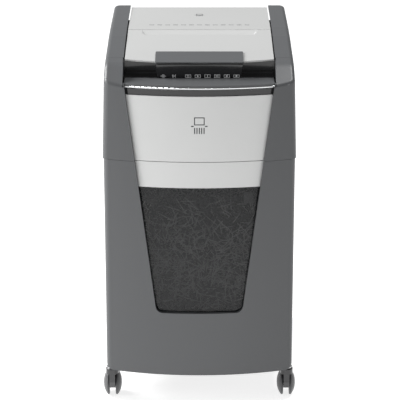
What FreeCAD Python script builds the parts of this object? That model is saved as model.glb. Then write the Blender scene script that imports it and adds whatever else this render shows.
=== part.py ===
"""Stack-feed paper shredder on castors, as separate pieces, in millimetres.

Frame: +Z up, origin on the floor under the middle of the body, front towards -Y.
Sub-assemblies: the cabinet with the cutting mechanism, the lid over the paper chamber,
the waste drawer that slides out of the front, and four castors.
"""
import FreeCAD, Part
import math
import os

V = FreeCAD.Vector
X_AXIS = V(1, 0, 0)
Y_AXIS = V(0, 1, 0)
Z_AXIS = V(0, 0, 1)

# ---- outer form -----------------------------------------------------------------------
HALF_DEPTH = 254.0          # front bulge and back face, from the middle
LOWER_HALF_WIDTH = 190.0    # flat sides of the lower body
FLARE_HALF_WIDTH = 192.0    # upper housing at the seam
CROWN_HALF_WIDTH = 185.4    # upper housing carried up to CROWN_Z
CROWN_Z = 745.0
FRONT_RADIUS = 600.0        # plan radius of the bowed front
CORNER_RADIUS = 14.0        # vertical edges
BASE_Z = 75.5               # underside of the body
BASE_EDGE_RADIUS = 13.0     # rounding along the bottom of the sides
SEAM_Z = 528.0              # drawer and cabinet below, upper housing above
GAP = 0.5                   # shut line between neighbouring mouldings
WALL = 3.0
DRAWER_FACE_Y = -190.0      # the drawer front covers everything forward of this

# ---- centre panel (a trapezoid that narrows downwards) --------------------------------
PANEL_FOOT_Z = 210.0
PANEL_FOOT_HALF = 86.3
PANEL_SLOPE = 0.128         # half width gained per mm of height
PANEL_FOOT_RADIUS = 15.0
PANEL_RECESS = 7.0          # centre panel sits behind the grey face
PANEL_LIP = 2.5             # wall round the recess
BAND_FOOT_Z = 474.0         # silver band above the smoked window
FASCIA_TOP_Z = 661.0
GROOVE_TOP_Z = 673.5
CHROME_TOP_Z = 679.0
LEDGE_TOP_Z = 683.0
LEDGE_BACK_Y = -186.0

# ---- top ------------------------------------------------------------------------------
ARM_INNER = 150.0           # silver lid between the grey arms
ARM_BEND_Y, ARM_BEND_Z = -184.0, 711.9
ARM_NOSE_Y, ARM_NOSE_Z = -300.0, 639.6          # the shoulder's slope carried out past the front
ARM_SEAM_Y = -153.0         # fixed shoulders in front, lid rails behind
TOP_Z = 734.0
RIDGE_Y, RIDGE_Z = 21.0, 731.5
RIDGE_STEP = 1.0            # the lid's rear part stands this much higher
LID_FRONT_RISE = 0.085      # slope of the lid in front of the ridge
LID_REAR_TOP_Z = 731.0
LID_HALF = 147.3            # leaves a gap beside the rails
LID_SEAM_Z = 700.0
LID_BACK_Y = 248.0
LID_FRONT_Y = -183.0
SPRING_TOP_Z = 717.4        # springs of the pressure plate seat here, under the lid
HINGE_Y, HINGE_Z, HINGE_RADIUS = 248.0, 700.0, 5.5
HINGE_X = 118.0
PIN_RADIUS = 2.5
POD_HALF, POD_FOOT_HALF = 86.5, 82.0
POD_TOP_Y, POD_TOP_Z = -188.6, 710.4
POD_FOOT_Y = -186.5
RECESS_TOP_Z = 712.0
HANDLE_BACK_Y, HANDLE_FRONT_Y, HANDLE_LIP_Z = -123.0, -188.0, 712.4

# ---- paper path -----------------------------------------------------------------------
NIP_Y = -6.0                # plane where the sheets go down
SLOT_HALF = 113.0           # manual slot, an A4 short edge with room either side
SLOT_DEPTH = 8.0
SCOOP_HALF, SCOOP_Z = 109.5, 724.5  # lead-in behind the slot, at its deepest
WELL_HALF_X, WELL_FRONT, WELL_BACK = 113.0, -148.0, 158.0
TRAY_FLOOR_Z = 664.0

# ---- cutting head ---------------------------------------------------------------------
CUT_Z = 592.0
SHAFT_SPACING = 44.0
CUTTER_RADIUS = 24.5
CORE_RADIUS = 12.0
JOURNAL_RADIUS = 10.0
CUTTER_PITCH = 12.0
CUTTER_WIDTH = 5.4
CUTTER_COUNT = 19
RUNNING_FIT = 0.05
PLATE_X = 128.0             # inner face of each frame plate
PLATE_THICK = 3.0
SYNC_MODULE, SYNC_TEETH = 2.0, 22
TRAIN_MODULE = 1.5
DRIVE_TEETH, IDLER_PINION_TEETH, IDLER_WHEEL_TEETH, MOTOR_TEETH = 56, 14, 48, 12
ROLLER_Z, ROLLER_RADIUS, ROLLER_TEETH = 652.0, 14.0, 20
DECK_TOP_Z = 534.0

# ---- waste drawer ---------------------------------------------------------------------
TUB_HALF, TUB_FRONT, TUB_BACK = 165.0, -222.0, 214.0
TUB_FLOOR_Z, TUB_TOP_Z = 92.0, 500.0
RAIL_Z = 118.0

# ---- castors --------------------------------------------------------------------------
CASTOR_X = 180.5
CASTOR_FRONT_Y, CASTOR_REAR_Y = -196.0, 200.0   # swivel axes
CASTOR_TRAIL = 20.0
WHEEL_RADIUS = 27.0
WHEEL_INNER, WHEEL_OUTER = 6.5, 18.9            # from the castor's middle plane
WHEEL_CAP_RADIUS = 4.0
PIN_SEAT_Z = 71.5           # underside of the base tray
CASTOR_PIN_RADIUS = 4.0
HUB_RADIUS, HUB_FOOT_Z, HUB_TOP_Z = 13.0, 56.0, 69.0


# ---- fittings and derived places ------------------------------------------------------
PANEL_SPLIT_X = 174.0       # side panels wrap round to here at the back and underneath
VENT_COUNT, VENT_PITCH, VENT_HEIGHT = 9, 9.0, 4.0
PLATE_Z0, PLATE_Z1 = 692.0, 695.0
BRIDGE_X0, BRIDGE_X1 = 116.5, 122.0
BRIDGE_Z0, BRIDGE_Z1 = 696.4, 698.8
SPRING_RADIUS, SPRING_WIRE, SPRING_TURNS = 5.0, 0.6, 6
FRONT_Y, REAR_Y = NIP_Y - SHAFT_SPACING / 2, NIP_Y + SHAFT_SPACING / 2
SYNC_X, DRIVE_X, WHEEL_X = 134.0, 146.0, 158.0
GEAR_WIDTH, TRAIN_WIDTH = 10.0, 9.0
PINION_REACH = (DRIVE_TEETH + IDLER_PINION_TEETH) * TRAIN_MODULE / 2
MOTOR_REACH = (IDLER_WHEEL_TEETH + MOTOR_TEETH) * TRAIN_MODULE / 2
IDLER_Y = REAR_Y + PINION_REACH
MOTOR_Y = IDLER_Y + MOTOR_REACH
ROLLER_REACH = ROLLER_TEETH * TRAIN_MODULE / 2
STUD_RADIUS = 5.0
PULLEY_X, PULLEY_WIDTH, PULLEY_RADIUS = -142.0, 8.0, 11.0
PLATE_CORNERS = [(NIP_Y - 74, DECK_TOP_Z), (NIP_Y - 74, 640, 10), (NIP_Y - 44, 660), (NIP_Y + 56, 660),
                 (NIP_Y + 86, 640, 10), (NIP_Y + 172, 640, 10), (NIP_Y + 172, DECK_TOP_Z)]
BEARING_RADIUS = 15.0
SCREW_PLACES = [(x, z) for x in (-165, 165) for z in (95, 230, 365, 500)]    # on the rear cover
SCREW_HEAD_RADIUS, SCREW_SHANK_RADIUS = 3.5, 1.6
TIE_ROD_PLACES = [(NIP_Y - 62, 628), (NIP_Y - 62, 548), (NIP_Y + 56, 548)]
INLET_X, INLET_Z = 130.0, 555.0
SWITCH_X = 90.0
ROCKER_AXIS_Y, ROCKER_TILT = 244.0, 8.0
ROCKER_PIN_RADIUS = 1.2
RUNNER_HALF_HEIGHT = 8.0


# ---- drawing helpers ------------------------------------------------------------------
def box(x0, x1, y0, y1, z0, z1):
    return Part.makeBox(x1 - x0, y1 - y0, z1 - z0, V(x0, y0, z0))


def rod(radius, axis, low, high, a, b):
    """Cylinder along an axis from low to high; a and b are its other two coordinates in X, Y, Z order."""
    if axis == "x":
        return Part.makeCylinder(radius, high - low, V(low, a, b), X_AXIS)
    if axis == "y":
        return Part.makeCylinder(radius, high - low, V(a, low, b), Y_AXIS)
    return Part.makeCylinder(radius, high - low, V(a, b, low), Z_AXIS)


def outline(corners, place):
    """Closed wire through 2D corners (a, b) or (a, b, radius), placed in space by place(a, b)."""
    turns = []
    for i, corner in enumerate(corners):
        here = V(corner[0], corner[1], 0)
        radius = corner[2] if len(corner) > 2 else 0
        if not radius:
            turns.append((here, None, here))
            continue
        before = (V(*corners[i - 1][:2], 0) - here).normalize()
        after = (V(*corners[(i + 1) % len(corners)][:2], 0) - here).normalize()
        half = before.getAngle(after) / 2
        reach = radius / math.tan(half)
        middle = (before + after).normalize() * (radius / math.sin(half) - radius)
        turns.append((here + before * reach, here + middle, here + after * reach))
    edges = []
    for i, (start, middle, end) in enumerate(turns):
        following = turns[(i + 1) % len(turns)][0]
        if middle is not None:
            edges.append(Part.Arc(place(start.x, start.y), place(middle.x, middle.y), place(end.x, end.y)).toShape())
        if (following - end).Length > 1e-6:
            edges.append(Part.LineSegment(place(end.x, end.y), place(following.x, following.y)).toShape())
    return Part.Wire(edges)


def side_prism(corners, x0, x1):
    """Solid from a (y, z) outline, running from x0 to x1."""
    return Part.Face(outline(corners, lambda a, b: V(x0, a, b))).extrude(V(x1 - x0, 0, 0))


def front_prism(corners, y0, y1):
    """Solid from an (x, z) outline, running from y0 to y1."""
    return Part.Face(outline(corners, lambda a, b: V(a, y0, b))).extrude(V(0, y1 - y0, 0))


def plan_prism(corners, z0, z1):
    """Solid from an (x, y) outline, running from z0 to z1."""
    return Part.Face(outline(corners, lambda a, b: V(a, b, z0))).extrude(V(0, 0, z1 - z0))


def turned(profile, axis_point, axis):
    """Solid of revolution from a closed list of points."""
    return Part.Face(Part.makePolygon(profile + [profile[0]])).revolve(axis_point, axis, 360)


def fuse(shapes):
    shapes = list(shapes)
    joined = shapes[0].multiFuse(shapes[1:]) if len(shapes) > 1 else shapes[0]
    return joined.removeSplitter()


def group(shapes):
    return Part.makeCompound(list(shapes))


def mirrored(shape):
    """The same shape on the other side of the middle plane."""
    return shape.mirror(V(0, 0, 0), X_AXIS)


def rounded(shape, radius, wanted):
    """Fillet the edges for which wanted(edge) is true."""
    edges = [edge for edge in shape.Edges if wanted(edge)]
    return shape.makeFillet(radius, edges) if edges else shape


# ---- outer form -----------------------------------------------------------------------
def plan_wire(half_width, inset, z):
    """Body outline in plan: bowed front, flat sides and back, round corners."""
    front = -HALF_DEPTH + inset
    back = HALF_DEPTH - inset
    radius = FRONT_RADIUS - inset
    corner = CORNER_RADIUS - inset
    centre_y = front + radius
    corner_y = centre_y - math.sqrt((radius - corner) ** 2 - (half_width - corner) ** 2)
    small = V(half_width - corner, corner_y, z)
    big = V(0, centre_y, z)
    outward = (small - big).normalize()
    touch = big + outward * radius
    bisector = (outward + X_AXIS).normalize()

    def flip(p):
        return V(-p.x, p.y, p.z)

    def arc(a, b, c):
        return Part.Arc(a, b, c).toShape()

    def line(a, b):
        return Part.LineSegment(a, b).toShape()

    side = V(half_width, corner_y, z)
    turn = small + bisector * corner
    back_side = V(half_width, back - corner, z)
    back_edge = V(half_width - corner, back, z)
    back_turn = V(half_width - corner, back - corner, z) + V(1, 1, 0).normalize() * corner
    return Part.Wire([
        arc(flip(touch), V(0, front, z), touch), arc(touch, turn, side), line(side, back_side),
        arc(back_side, back_turn, back_edge), line(back_edge, flip(back_edge)),
        arc(flip(back_edge), flip(back_turn), flip(back_side)), line(flip(back_side), flip(side)),
        arc(flip(side), flip(turn), flip(touch)),
    ])


def lower_body(inset, z1):
    """The lower body's outer form, drawn in by inset on every side but the top."""
    half = LOWER_HALF_WIDTH - inset
    z0 = BASE_Z + inset
    radius = BASE_EDGE_RADIUS - inset
    column = Part.Face(plan_wire(half, inset, z0)).extrude(V(0, 0, z1 - z0))
    edge = front_prism([(-half, z1), (-half, z0, radius), (half, z0, radius), (half, z1)], -300, 300)
    return column.common(edge)


def half_width_at(z):
    """Half width of the upper housing, which flares down to the seam."""
    share = (z - SEAM_Z) / (CROWN_Z - SEAM_Z)
    return FLARE_HALF_WIDTH + (CROWN_HALF_WIDTH - FLARE_HALF_WIDTH) * share


def upper_block(inset, z0, z1):
    wires = [plan_wire(half_width_at(z) - inset, inset, z) for z in (z0, z1)]
    return Part.makeLoft(wires, True, True)


def arm_profile(inset, z0):
    """Side view of the arms' top: chamfered front, long rise, level rear."""
    top = TOP_Z - inset
    return [
        (ARM_NOSE_Y, z0), (ARM_NOSE_Y, ARM_NOSE_Z - inset), (ARM_BEND_Y, ARM_BEND_Z - inset, 45),
        (-150, 716.6 - inset), (-28, 729.6 - inset), (37, 733.4 - inset, 60), (120, top), (300, top), (300, z0),
    ]


def panel_half(z):
    """Half width of the centre trapezoid at height z."""
    return PANEL_FOOT_HALF + PANEL_SLOPE * (z - PANEL_FOOT_Z)


def panel_wedge(z0, z1, grow=0.0, foot_radius=0.0):
    """Trapezoid of the centre panel between two heights, through the whole front."""
    low, high = panel_half(z0) + grow, panel_half(z1) + grow
    corners = [(-high, z1), (-low, z0, foot_radius), (low, z0, foot_radius), (high, z1)]
    return front_prism(corners, -300, -150)


def front_skin(setback, thick, half_width, z0, z1):
    """Slice of the bowed front: setback behind the grey face, thick deep."""
    def slab(inset):
        radius = FRONT_RADIUS - inset
        return Part.makeCylinder(radius, z1 - z0, V(0, -HALF_DEPTH + FRONT_RADIUS, z0), Z_AXIS)
    ring = slab(setback).cut(slab(setback + thick))
    return ring.common(box(-half_width, half_width, -300, -150, z0, z1))


# ---- lower cabinet --------------------------------------------------------------------
def cabinet_shell():
    """Hollow lower body behind the drawer front, still in one piece."""
    shell = lower_body(0, SEAM_Z - GAP).cut(lower_body(WALL, SEAM_Z + 10))
    return shell.common(box(-220, 220, DRAWER_FACE_Y + GAP, 300, 0, SEAM_Z))


def side_panel_right():
    return cabinet_shell().common(box(PANEL_SPLIT_X, 220, -300, 300, 0, 600))


def rear_cover():
    """Back panel with two fields of cooling slots high up."""
    panel = box(-PANEL_SPLIT_X + GAP, PANEL_SPLIT_X - GAP, HALF_DEPTH - WALL, HALF_DEPTH, BASE_Z, SEAM_Z - GAP)
    slots = []
    for x0 in (-110, 30):
        for i in range(VENT_COUNT):
            z = 420 + i * VENT_PITCH
            slots.append(box(x0, x0 + 80, 240, 260, z, z + VENT_HEIGHT))
    seats = [rod(SCREW_HEAD_RADIUS + 0.2, "y", HALF_DEPTH - 2.0, HALF_DEPTH + 1, x, z) for x, z in SCREW_PLACES]
    holes = [rod(SCREW_SHANK_RADIUS + 0.1, "y", 240, HALF_DEPTH, x, z) for x, z in SCREW_PLACES]
    return panel.cut(group(slots + seats + holes))


def base_tray():
    """Dark floor plate set in from the edges, with cross ribs inside the cabinet."""
    plate = Part.Face(plan_wire(LOWER_HALF_WIDTH - 8, 8, PIN_SEAT_Z)).extrude(V(0, 0, BASE_Z - 0.3 - PIN_SEAT_Z))
    x = PANEL_SPLIT_X - GAP
    floor = box(-x, x, -180, HALF_DEPTH - WALL - 0.2, BASE_Z - 0.3, BASE_Z + 3)
    ribs = [box(-150, 150, y, y + 3, BASE_Z + 3, BASE_Z + 12) for y in (-170, -60, 70, 240)]
    return fuse([plate, floor] + ribs)


# ---- upper housing --------------------------------------------------------------------
def upper_form(inset, z0):
    """Whole upper form, housing and lid together, with its side-view profile."""
    return upper_block(inset, z0, CROWN_Z).common(side_prism(arm_profile(inset, z0), -220, 220))


def soften_arms(shape):
    """Round the long outer edges of the arms' top."""
    def outer_top(edge):
        bound = edge.BoundBox
        return abs(bound.Center.x) > 180 and bound.ZMin > 684 and bound.YLength > 4 and bound.XLength < 9
    return rounded(shape, 8.0, outer_top)


def upper_shell():
    return soften_arms(upper_form(0, SEAM_Z)).cut(upper_form(WALL, SEAM_Z - 1))


def upper_vents():
    """Slots in the back of the upper housing, behind the motor."""
    return [box(-60, 60, 240, 260, 560 + i * VENT_PITCH, 560 + i * VENT_PITCH + VENT_HEIGHT) for i in range(9)]


def upper_housing(shell):
    """Fixed grey moulding: sides, back, shoulders and the recess edges round the silver fascia."""
    lid_space = box(-220, 220, ARM_SEAM_Y - 0.4, 300, LID_SEAM_Z - 0.4, 800)
    middle = box(-ARM_INNER, ARM_INNER, -300, ARM_SEAM_Y + 20, LEDGE_TOP_Z - 6, 800)
    wedge = panel_wedge(SEAM_Z - 5, LEDGE_TOP_Z + 40, 0.4)
    lip = panel_wedge(SEAM_Z, LEDGE_TOP_Z, PANEL_LIP).cut(wedge)
    lip = lip.common(front_skin(WALL - 0.5, 9.5, 175, SEAM_Z, LEDGE_TOP_Z))
    cheek = upper_form(WALL - 0.5, 640).common(box(ARM_INNER, ARM_INNER + 3, -240, ARM_SEAM_Y - 0.4, 676, 800))
    hinge_room = [rod(HINGE_RADIUS + 0.6, "x", x - 22, x + 22, HINGE_Y, HINGE_Z) for x in (-HINGE_X, HINGE_X)]
    body = shell.cut(lid_space).cut(middle).cut(wedge)
    body = body.multiFuse([lip, cheek, mirrored(cheek)])
    body = body.cut(group(hinge_room + upper_vents() + [inlet_room(), switch_room()]))
    return body.removeSplitter()


def front_fascia():
    panel = front_skin(PANEL_RECESS, WALL, 160, SEAM_Z + 0.3, FASCIA_TOP_Z)
    return panel.common(panel_wedge(SEAM_Z, FASCIA_TOP_Z + 5))


def fascia_groove():
    """Black gloss channel above the silver fascia."""
    panel = front_skin(PANEL_RECESS + 3, WALL, 160, FASCIA_TOP_Z + 0.2, GROOVE_TOP_Z)
    return panel.common(panel_wedge(SEAM_Z, GROOVE_TOP_Z + 5))


def chrome_strip():
    """Chrome bar with a rounded upper edge; its lower face leans back over the groove."""
    setback = PANEL_RECESS - 2.5
    front = -HALF_DEPTH + setback
    turn = V(0, -HALF_DEPTH + FRONT_RADIUS, 0)
    section = outline([(front, CHROME_TOP_Z, 1.2), (front, CHROME_TOP_Z - 2.4, 0.8),
                       (front + 2.8, GROOVE_TOP_Z + 0.2), (front + 7, GROOVE_TOP_Z + 0.2), (front + 7, CHROME_TOP_Z)], lambda a, b: V(0, a, b))
    bar = Part.Face(section).revolve(turn, Z_AXIS, 20)
    bar = fuse([bar, bar.mirror(V(0, 0, 0), X_AXIS)])
    return bar.common(panel_wedge(SEAM_Z, CHROME_TOP_Z + 5))


def front_ledge():
    """Grey sill between the chrome strip and the recess under the lid's edge."""
    sill = front_skin(PANEL_RECESS - 1.0, 80, ARM_INNER, CHROME_TOP_Z + 0.2, LEDGE_TOP_Z)
    sill = sill.common(box(-ARM_INNER, ARM_INNER, -300, LEDGE_BACK_Y + 2, 600, 700))
    return sill.common(panel_wedge(SEAM_Z, LEDGE_TOP_Z + 5))


def pod_recess():
    """Black gloss back wall, step and floor behind the ledge, either side of the control pod."""
    x = ARM_INNER - 0.5
    wall = box(-x, x, -162, -159, LEDGE_TOP_Z - 3, RECESS_TOP_Z)
    floor = box(-x, x, LEDGE_BACK_Y + 2.3, -159, LEDGE_TOP_Z - 3, LEDGE_TOP_Z)
    step = box(-x, x, -168, -162, LEDGE_TOP_Z, LEDGE_TOP_Z + 8)
    return fuse([wall, floor, step])


def control_pod():
    """Black gloss control housing that narrows towards its foot."""
    foot, top = LEDGE_TOP_Z + 0.2, POD_TOP_Z
    face = front_prism([(-POD_HALF, top), (-POD_FOOT_HALF, foot, 3), (POD_FOOT_HALF, foot, 3), (POD_HALF, top)],
                       -195, -168.3)
    slant = side_prism([(-200, top + 2), (POD_TOP_Y, top), (POD_FOOT_Y, foot), (-200, foot - 2)], -120, 120)
    body = face.cut(slant).cut(box(-78, 78, -183, -160, foot + 2, top - 3))
    return rounded(body, 1.5, lambda e: abs(e.BoundBox.Center.x) > 80 and e.BoundBox.YMax < -186 and e.Length > 15)


# ---- lid ------------------------------------------------------------------------------
def lid_top_z(y):
    """Height of the silver top in front of the ridge."""
    return RIDGE_Z - LID_FRONT_RISE * (RIDGE_Y - y)


def lid_top_profile(drop):
    """(y, z) points of the silver top, front to back, lowered by drop."""
    return [(-200, lid_top_z(-200) - drop), (RIDGE_Y, RIDGE_Z - drop), (RIDGE_Y, RIDGE_Z + RIDGE_STEP - drop, 0.7),
            (LID_BACK_Y, LID_REAR_TOP_Z - drop, 9)]


def lid_front_curve(inset):
    return Part.makeCylinder(FRONT_RADIUS - inset, 200, V(0, LID_FRONT_Y + FRONT_RADIUS, 600), Z_AXIS)


def hinge_barrels(radius, half_length):
    return group(rod(radius, "x", x - half_length, x + half_length, HINGE_Y, HINGE_Z) for x in (-HINGE_X, HINGE_X))


def lid_panel():
    """Silver top with a step at its ridge and the manual slot, with its sloping lead-in, just in front."""
    outer = side_prism(lid_top_profile(0) + [(LID_BACK_Y, LID_SEAM_Z), (-200, LID_SEAM_Z)], -LID_HALF, LID_HALF)
    inside = LID_HALF - 2.8
    under = side_prism(lid_top_profile(WALL) + [(LID_BACK_Y, 600), (-200, 600)], -inside, inside)
    under = under.common(box(-200, 200, ARM_SEAM_Y, LID_BACK_Y - WALL, 600, 800))
    nose = side_prism([(-250, lid_top_z(-250) - WALL), (ARM_SEAM_Y + 0.4, lid_top_z(ARM_SEAM_Y + 0.4) - WALL),
                       (ARM_SEAM_Y + 0.4, 600), (-250, 600)], -200, 200)
    skin = outer.common(lid_front_curve(0)).cut(group([under, nose]))
    slot0, slot1 = NIP_Y - SLOT_DEPTH / 2, NIP_Y + SLOT_DEPTH / 2
    rim = box(-SLOT_HALF - 3, SLOT_HALF + 3, slot0 - 4, RIDGE_Y + 2, 722, lid_top_z(slot0 - 4) - 1)
    slot = box(-SLOT_HALF, SLOT_HALF, slot0, slot1, 690, 760)
    lead_in = side_prism([(slot1 - 1, 740), (slot1 - 1, SCOOP_Z), (slot1, SCOOP_Z), (RIDGE_Y - 1, RIDGE_Z),
                          (RIDGE_Y - 1, 740)], -SLOT_HALF - 10, SLOT_HALF + 10)
    flare = 4 / 3 * (740 - SCOOP_Z)
    ends = front_prism([(-SCOOP_HALF - flare, 740), (-SCOOP_HALF, SCOOP_Z), (SCOOP_HALF, SCOOP_Z),
                        (SCOOP_HALF + flare, 740)], -50, 50)
    bosses = [rod(6.5, "z", SPRING_TOP_Z + 0.2, min(lid_top_z(py), RIDGE_Z) - 1.5, px, py)
              for px, py in spring_places()]
    waste = group([slot, lead_in.common(ends), hinge_barrels(HINGE_RADIUS + 0.5, 21)])
    return skin.multiFuse([rim] + bosses).cut(waste).removeSplitter()


def lid_rail(shell):
    """Grey rail on the right of the lid, rear of the shoulder seam."""
    room = box(ARM_INNER, 220, ARM_SEAM_Y, LID_BACK_Y, LID_SEAM_Z, 800)
    inner_wall = box(ARM_INNER, ARM_INNER + 2.5, ARM_SEAM_Y, LID_BACK_Y, LID_SEAM_Z, 800)
    front_wall = box(ARM_INNER, 220, ARM_SEAM_Y, ARM_SEAM_Y + 2.5, LID_SEAM_Z, 800)
    back_wall = box(ARM_INNER, 220, LID_BACK_Y - 2.5, LID_BACK_Y, LID_SEAM_Z, 800)
    foot = box(LID_HALF, ARM_INNER + 1, ARM_SEAM_Y + 1, LID_BACK_Y - 12, LID_SEAM_Z, LID_SEAM_Z + 8)
    form = upper_form(WALL - 0.5, 690)
    walls = [form.common(wall) for wall in (inner_wall, front_wall, back_wall, foot)]
    return shell.common(room).multiFuse(walls).removeSplitter()


def lid_liner():
    """Black ring under the lid with a window for the pressure plate and the hinge knuckles."""
    x = LID_HALF - 3.0
    z0, z1 = LID_SEAM_Z + 0.3, LID_SEAM_Z + 2.8
    ring = box(-x, x, ARM_SEAM_Y + 0.5, LID_BACK_Y - 3.2, z0, z1)
    ring = ring.cut(box(-108, 108, -142, 152, 690, 710)).cut(box(-125, 125, NIP_Y - 24, NIP_Y + 24, 690, 710))
    ring = ring.cut(group(box(x0 - 21, x0 + 21, HINGE_Y - 8, HINGE_Y, 690, 710) for x0 in (-HINGE_X, HINGE_X)))
    knuckles = [rod(HINGE_RADIUS, "x", x0 - 10, x0 + 10, HINGE_Y, HINGE_Z) for x0 in (-HINGE_X, HINGE_X)]
    tongues = [box(x0 - 10, x0 + 10, HINGE_Y - 14, HINGE_Y - 1, z0, z1) for x0 in (-HINGE_X, HINGE_X)]
    return fuse([ring] + knuckles + tongues).cut(hinge_barrels(PIN_RADIUS + RUNNING_FIT, 20))


def slot_guide():
    """Black duct that leads a hand-fed sheet from the slot down through the lid."""
    duct = box(-SLOT_HALF - 2.5, SLOT_HALF + 2.5, NIP_Y - 6.5, NIP_Y + 6.5, 704.5, 721.9)
    return duct.cut(box(-SLOT_HALF, SLOT_HALF, NIP_Y - 4, NIP_Y + 4, 690, 730))


def lid_hinge_brackets():
    """Two fixed steel brackets on the back of the housing, each with a pair of knuckles."""
    made = []
    for x0 in (-HINGE_X, HINGE_X):
        parts = [box(x0 - 20, x0 + 20, HINGE_Y - 0.8, HINGE_Y + 2.9, 660, 690)]
        for a, b in ((x0 - 20, x0 - 10.4), (x0 + 10.4, x0 + 20)):
            parts.append(rod(HINGE_RADIUS, "x", a, b, HINGE_Y, HINGE_Z))
            parts.append(box(a, b, HINGE_Y - 0.8, HINGE_Y + 2.9, 689, HINGE_Z - 2))
        made.append(fuse(parts).cut(rod(PIN_RADIUS, "x", x0 - 30, x0 + 30, HINGE_Y, HINGE_Z)))
    return group(made)


def lid_hinge_pins():
    return hinge_barrels(PIN_RADIUS, 20)


def lid_handle():
    """Grey grip plate on the front of the lid, its lip hanging over the control pod."""
    back, front = HANDLE_BACK_Y, HANDLE_FRONT_Y
    profile = [(back, lid_top_z(back) - 4), (back, lid_top_z(back) + 2.4, 1.5), (front, lid_top_z(front) + 2.0, 1.2),
               (front, HANDLE_LIP_Z, 1), (front + 10, HANDLE_LIP_Z), (front + 30, lid_top_z(front + 30) - WALL)]
    plate = side_prism(profile, -POD_HALF - 2, POD_HALF + 2)
    edge = POD_HALF + 0.5
    plan = plan_prism([(-edge, back, 5), (edge, back, 5), (edge, front, 4), (-edge, front, 4)], 600, 800)
    corners = [(-200, lid_top_z(-200)), (RIDGE_Y, RIDGE_Z), (RIDGE_Y, 600), (-200, 600)]
    lid = side_prism(corners, -LID_HALF, LID_HALF)
    above = plate.common(plan).cut(lid)
    skin = lid.cut(lid.translated(V(0, 0, -WALL))).common(lid_front_curve(0))
    below = plate.common(plan).common(lid).cut(skin).common(box(-200, 200, -300, front + 12, 600, 800))
    return max(fuse([above, below]).Solids, key=lambda solid: solid.Volume)


def spring_places():
    return [(x, y) for x in (-80, 80) for y in (-100, 110)]


def pressure_plate():
    """Plate that rests on the stack: open across the middle, bridged at both ends of the opening."""
    plate = plan_prism([(-105, -139, 8), (105, -139, 8), (105, 149, 8), (-105, 149, 8)], PLATE_Z0, PLATE_Z1)
    parts = [plate.cut(box(-120, 120, NIP_Y - 10, NIP_Y + 10, 680, 700))]
    for x0, x1, tip0, tip1 in ((-BRIDGE_X1, -98, -BRIDGE_X1, -BRIDGE_X0), (98, BRIDGE_X1, BRIDGE_X0, BRIDGE_X1)):
        foot0, foot1 = (98, 104) if x0 > 0 else (-104, -98)
        for y0 in (NIP_Y - 18, NIP_Y + 12):
            parts.append(box(x0, x1, y0, y0 + 6, BRIDGE_Z0, BRIDGE_Z1))
            parts.append(box(foot0, foot1, y0, y0 + 6, PLATE_Z0 + 1, BRIDGE_Z1))
        parts.append(box(tip0, tip1, NIP_Y - 18, NIP_Y + 18, BRIDGE_Z0, BRIDGE_Z1))
    return fuse(parts)


def pressure_springs():
    """Four coil springs between the plate and the lid."""
    springs = []
    for x, y in spring_places():
        foot = PLATE_Z1 + SPRING_WIRE + 0.1
        pitch = (SPRING_TOP_Z - SPRING_WIRE - foot) / SPRING_TURNS
        helix = Part.makeHelix(pitch, pitch * SPRING_TURNS, SPRING_RADIUS)
        helix.translate(V(x, y, foot))
        start = V(x + SPRING_RADIUS, y, foot)
        section = Part.Wire(Part.makeCircle(SPRING_WIRE, start, Y_AXIS))
        springs.append(Part.Wire(helix).makePipeShell([section], True, True))
    return group(springs)


# ---- cutting head ---------------------------------------------------------------------
def involute(angle):
    return math.tan(angle) - angle


def gear(teeth, module, x0, width, y, z, phase, bore):
    """Spur gear about an X axis; phase is the angle of one tooth's middle, from +Y towards +Z."""
    pitch = teeth * module / 2
    base = pitch * math.cos(math.radians(20))
    root, tip = pitch - 1.25 * module, pitch + 0.95 * module
    half_pitch_angle = math.pi / (2 * teeth) - 0.06 * module / pitch
    corners = []
    for radius in (max(base, root), pitch, tip):
        pressure = math.acos(min(1, base / radius))
        half = half_pitch_angle + involute(math.radians(20)) - involute(pressure)
        corners.append((radius, half))
    corners = [(root, corners[0][1])] + (corners if base > root else corners[1:])
    points = []
    for tooth in range(teeth):
        middle = phase + tooth * 2 * math.pi / teeth
        for radius, half in corners:
            points.append((radius, middle - half))
        for radius, half in reversed(corners):
            points.append((radius, middle + half))
    ring = [V(x0, y + r * math.cos(a), z + r * math.sin(a)) for r, a in points]
    blank = Part.Face(Part.makePolygon(ring + [ring[0]])).extrude(V(width, 0, 0))
    return blank.cut(rod(bore, "x", x0 - 1, x0 + width + 1, y, z)) if bore else blank


def meshing_phase(teeth_a, phase_a, direction, teeth_b):
    """Phase of gear B, lying in the given direction from gear A, that puts its gap on A's tooth."""
    place = teeth_a * (direction - phase_a) / (2 * math.pi)
    return direction + math.pi - 2 * math.pi * (0.5 - place) / teeth_b


def cutter(axis_y, first_x, left_end, right_end):
    """Cutter cylinder: a core with square-edged discs and a journal at each end."""
    profile = [V(left_end, axis_y, CUT_Z), V(left_end, axis_y + JOURNAL_RADIUS, CUT_Z)]
    profile += [V(-PLATE_X + 4, axis_y + r, CUT_Z) for r in (JOURNAL_RADIUS, CORE_RADIUS)]
    for i in range(CUTTER_COUNT):
        x = first_x + i * CUTTER_PITCH
        for at, radius in ((x, CORE_RADIUS), (x, CUTTER_RADIUS), (x + CUTTER_WIDTH, CUTTER_RADIUS),
                           (x + CUTTER_WIDTH, CORE_RADIUS)):
            profile.append(V(at, axis_y + radius, CUT_Z))
    profile += [V(PLATE_X - 4, axis_y + r, CUT_Z) for r in (CORE_RADIUS, JOURNAL_RADIUS)]
    profile += [V(right_end, axis_y + JOURNAL_RADIUS, CUT_Z), V(right_end, axis_y, CUT_Z)]
    return turned(profile, V(0, axis_y, CUT_Z), X_AXIS)


def first_disc(rear):
    span = (CUTTER_COUNT - 1) * CUTTER_PITCH + CUTTER_WIDTH
    return -span / 2 - CUTTER_PITCH / 4 + (CUTTER_PITCH / 2 if rear else 0)


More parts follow.
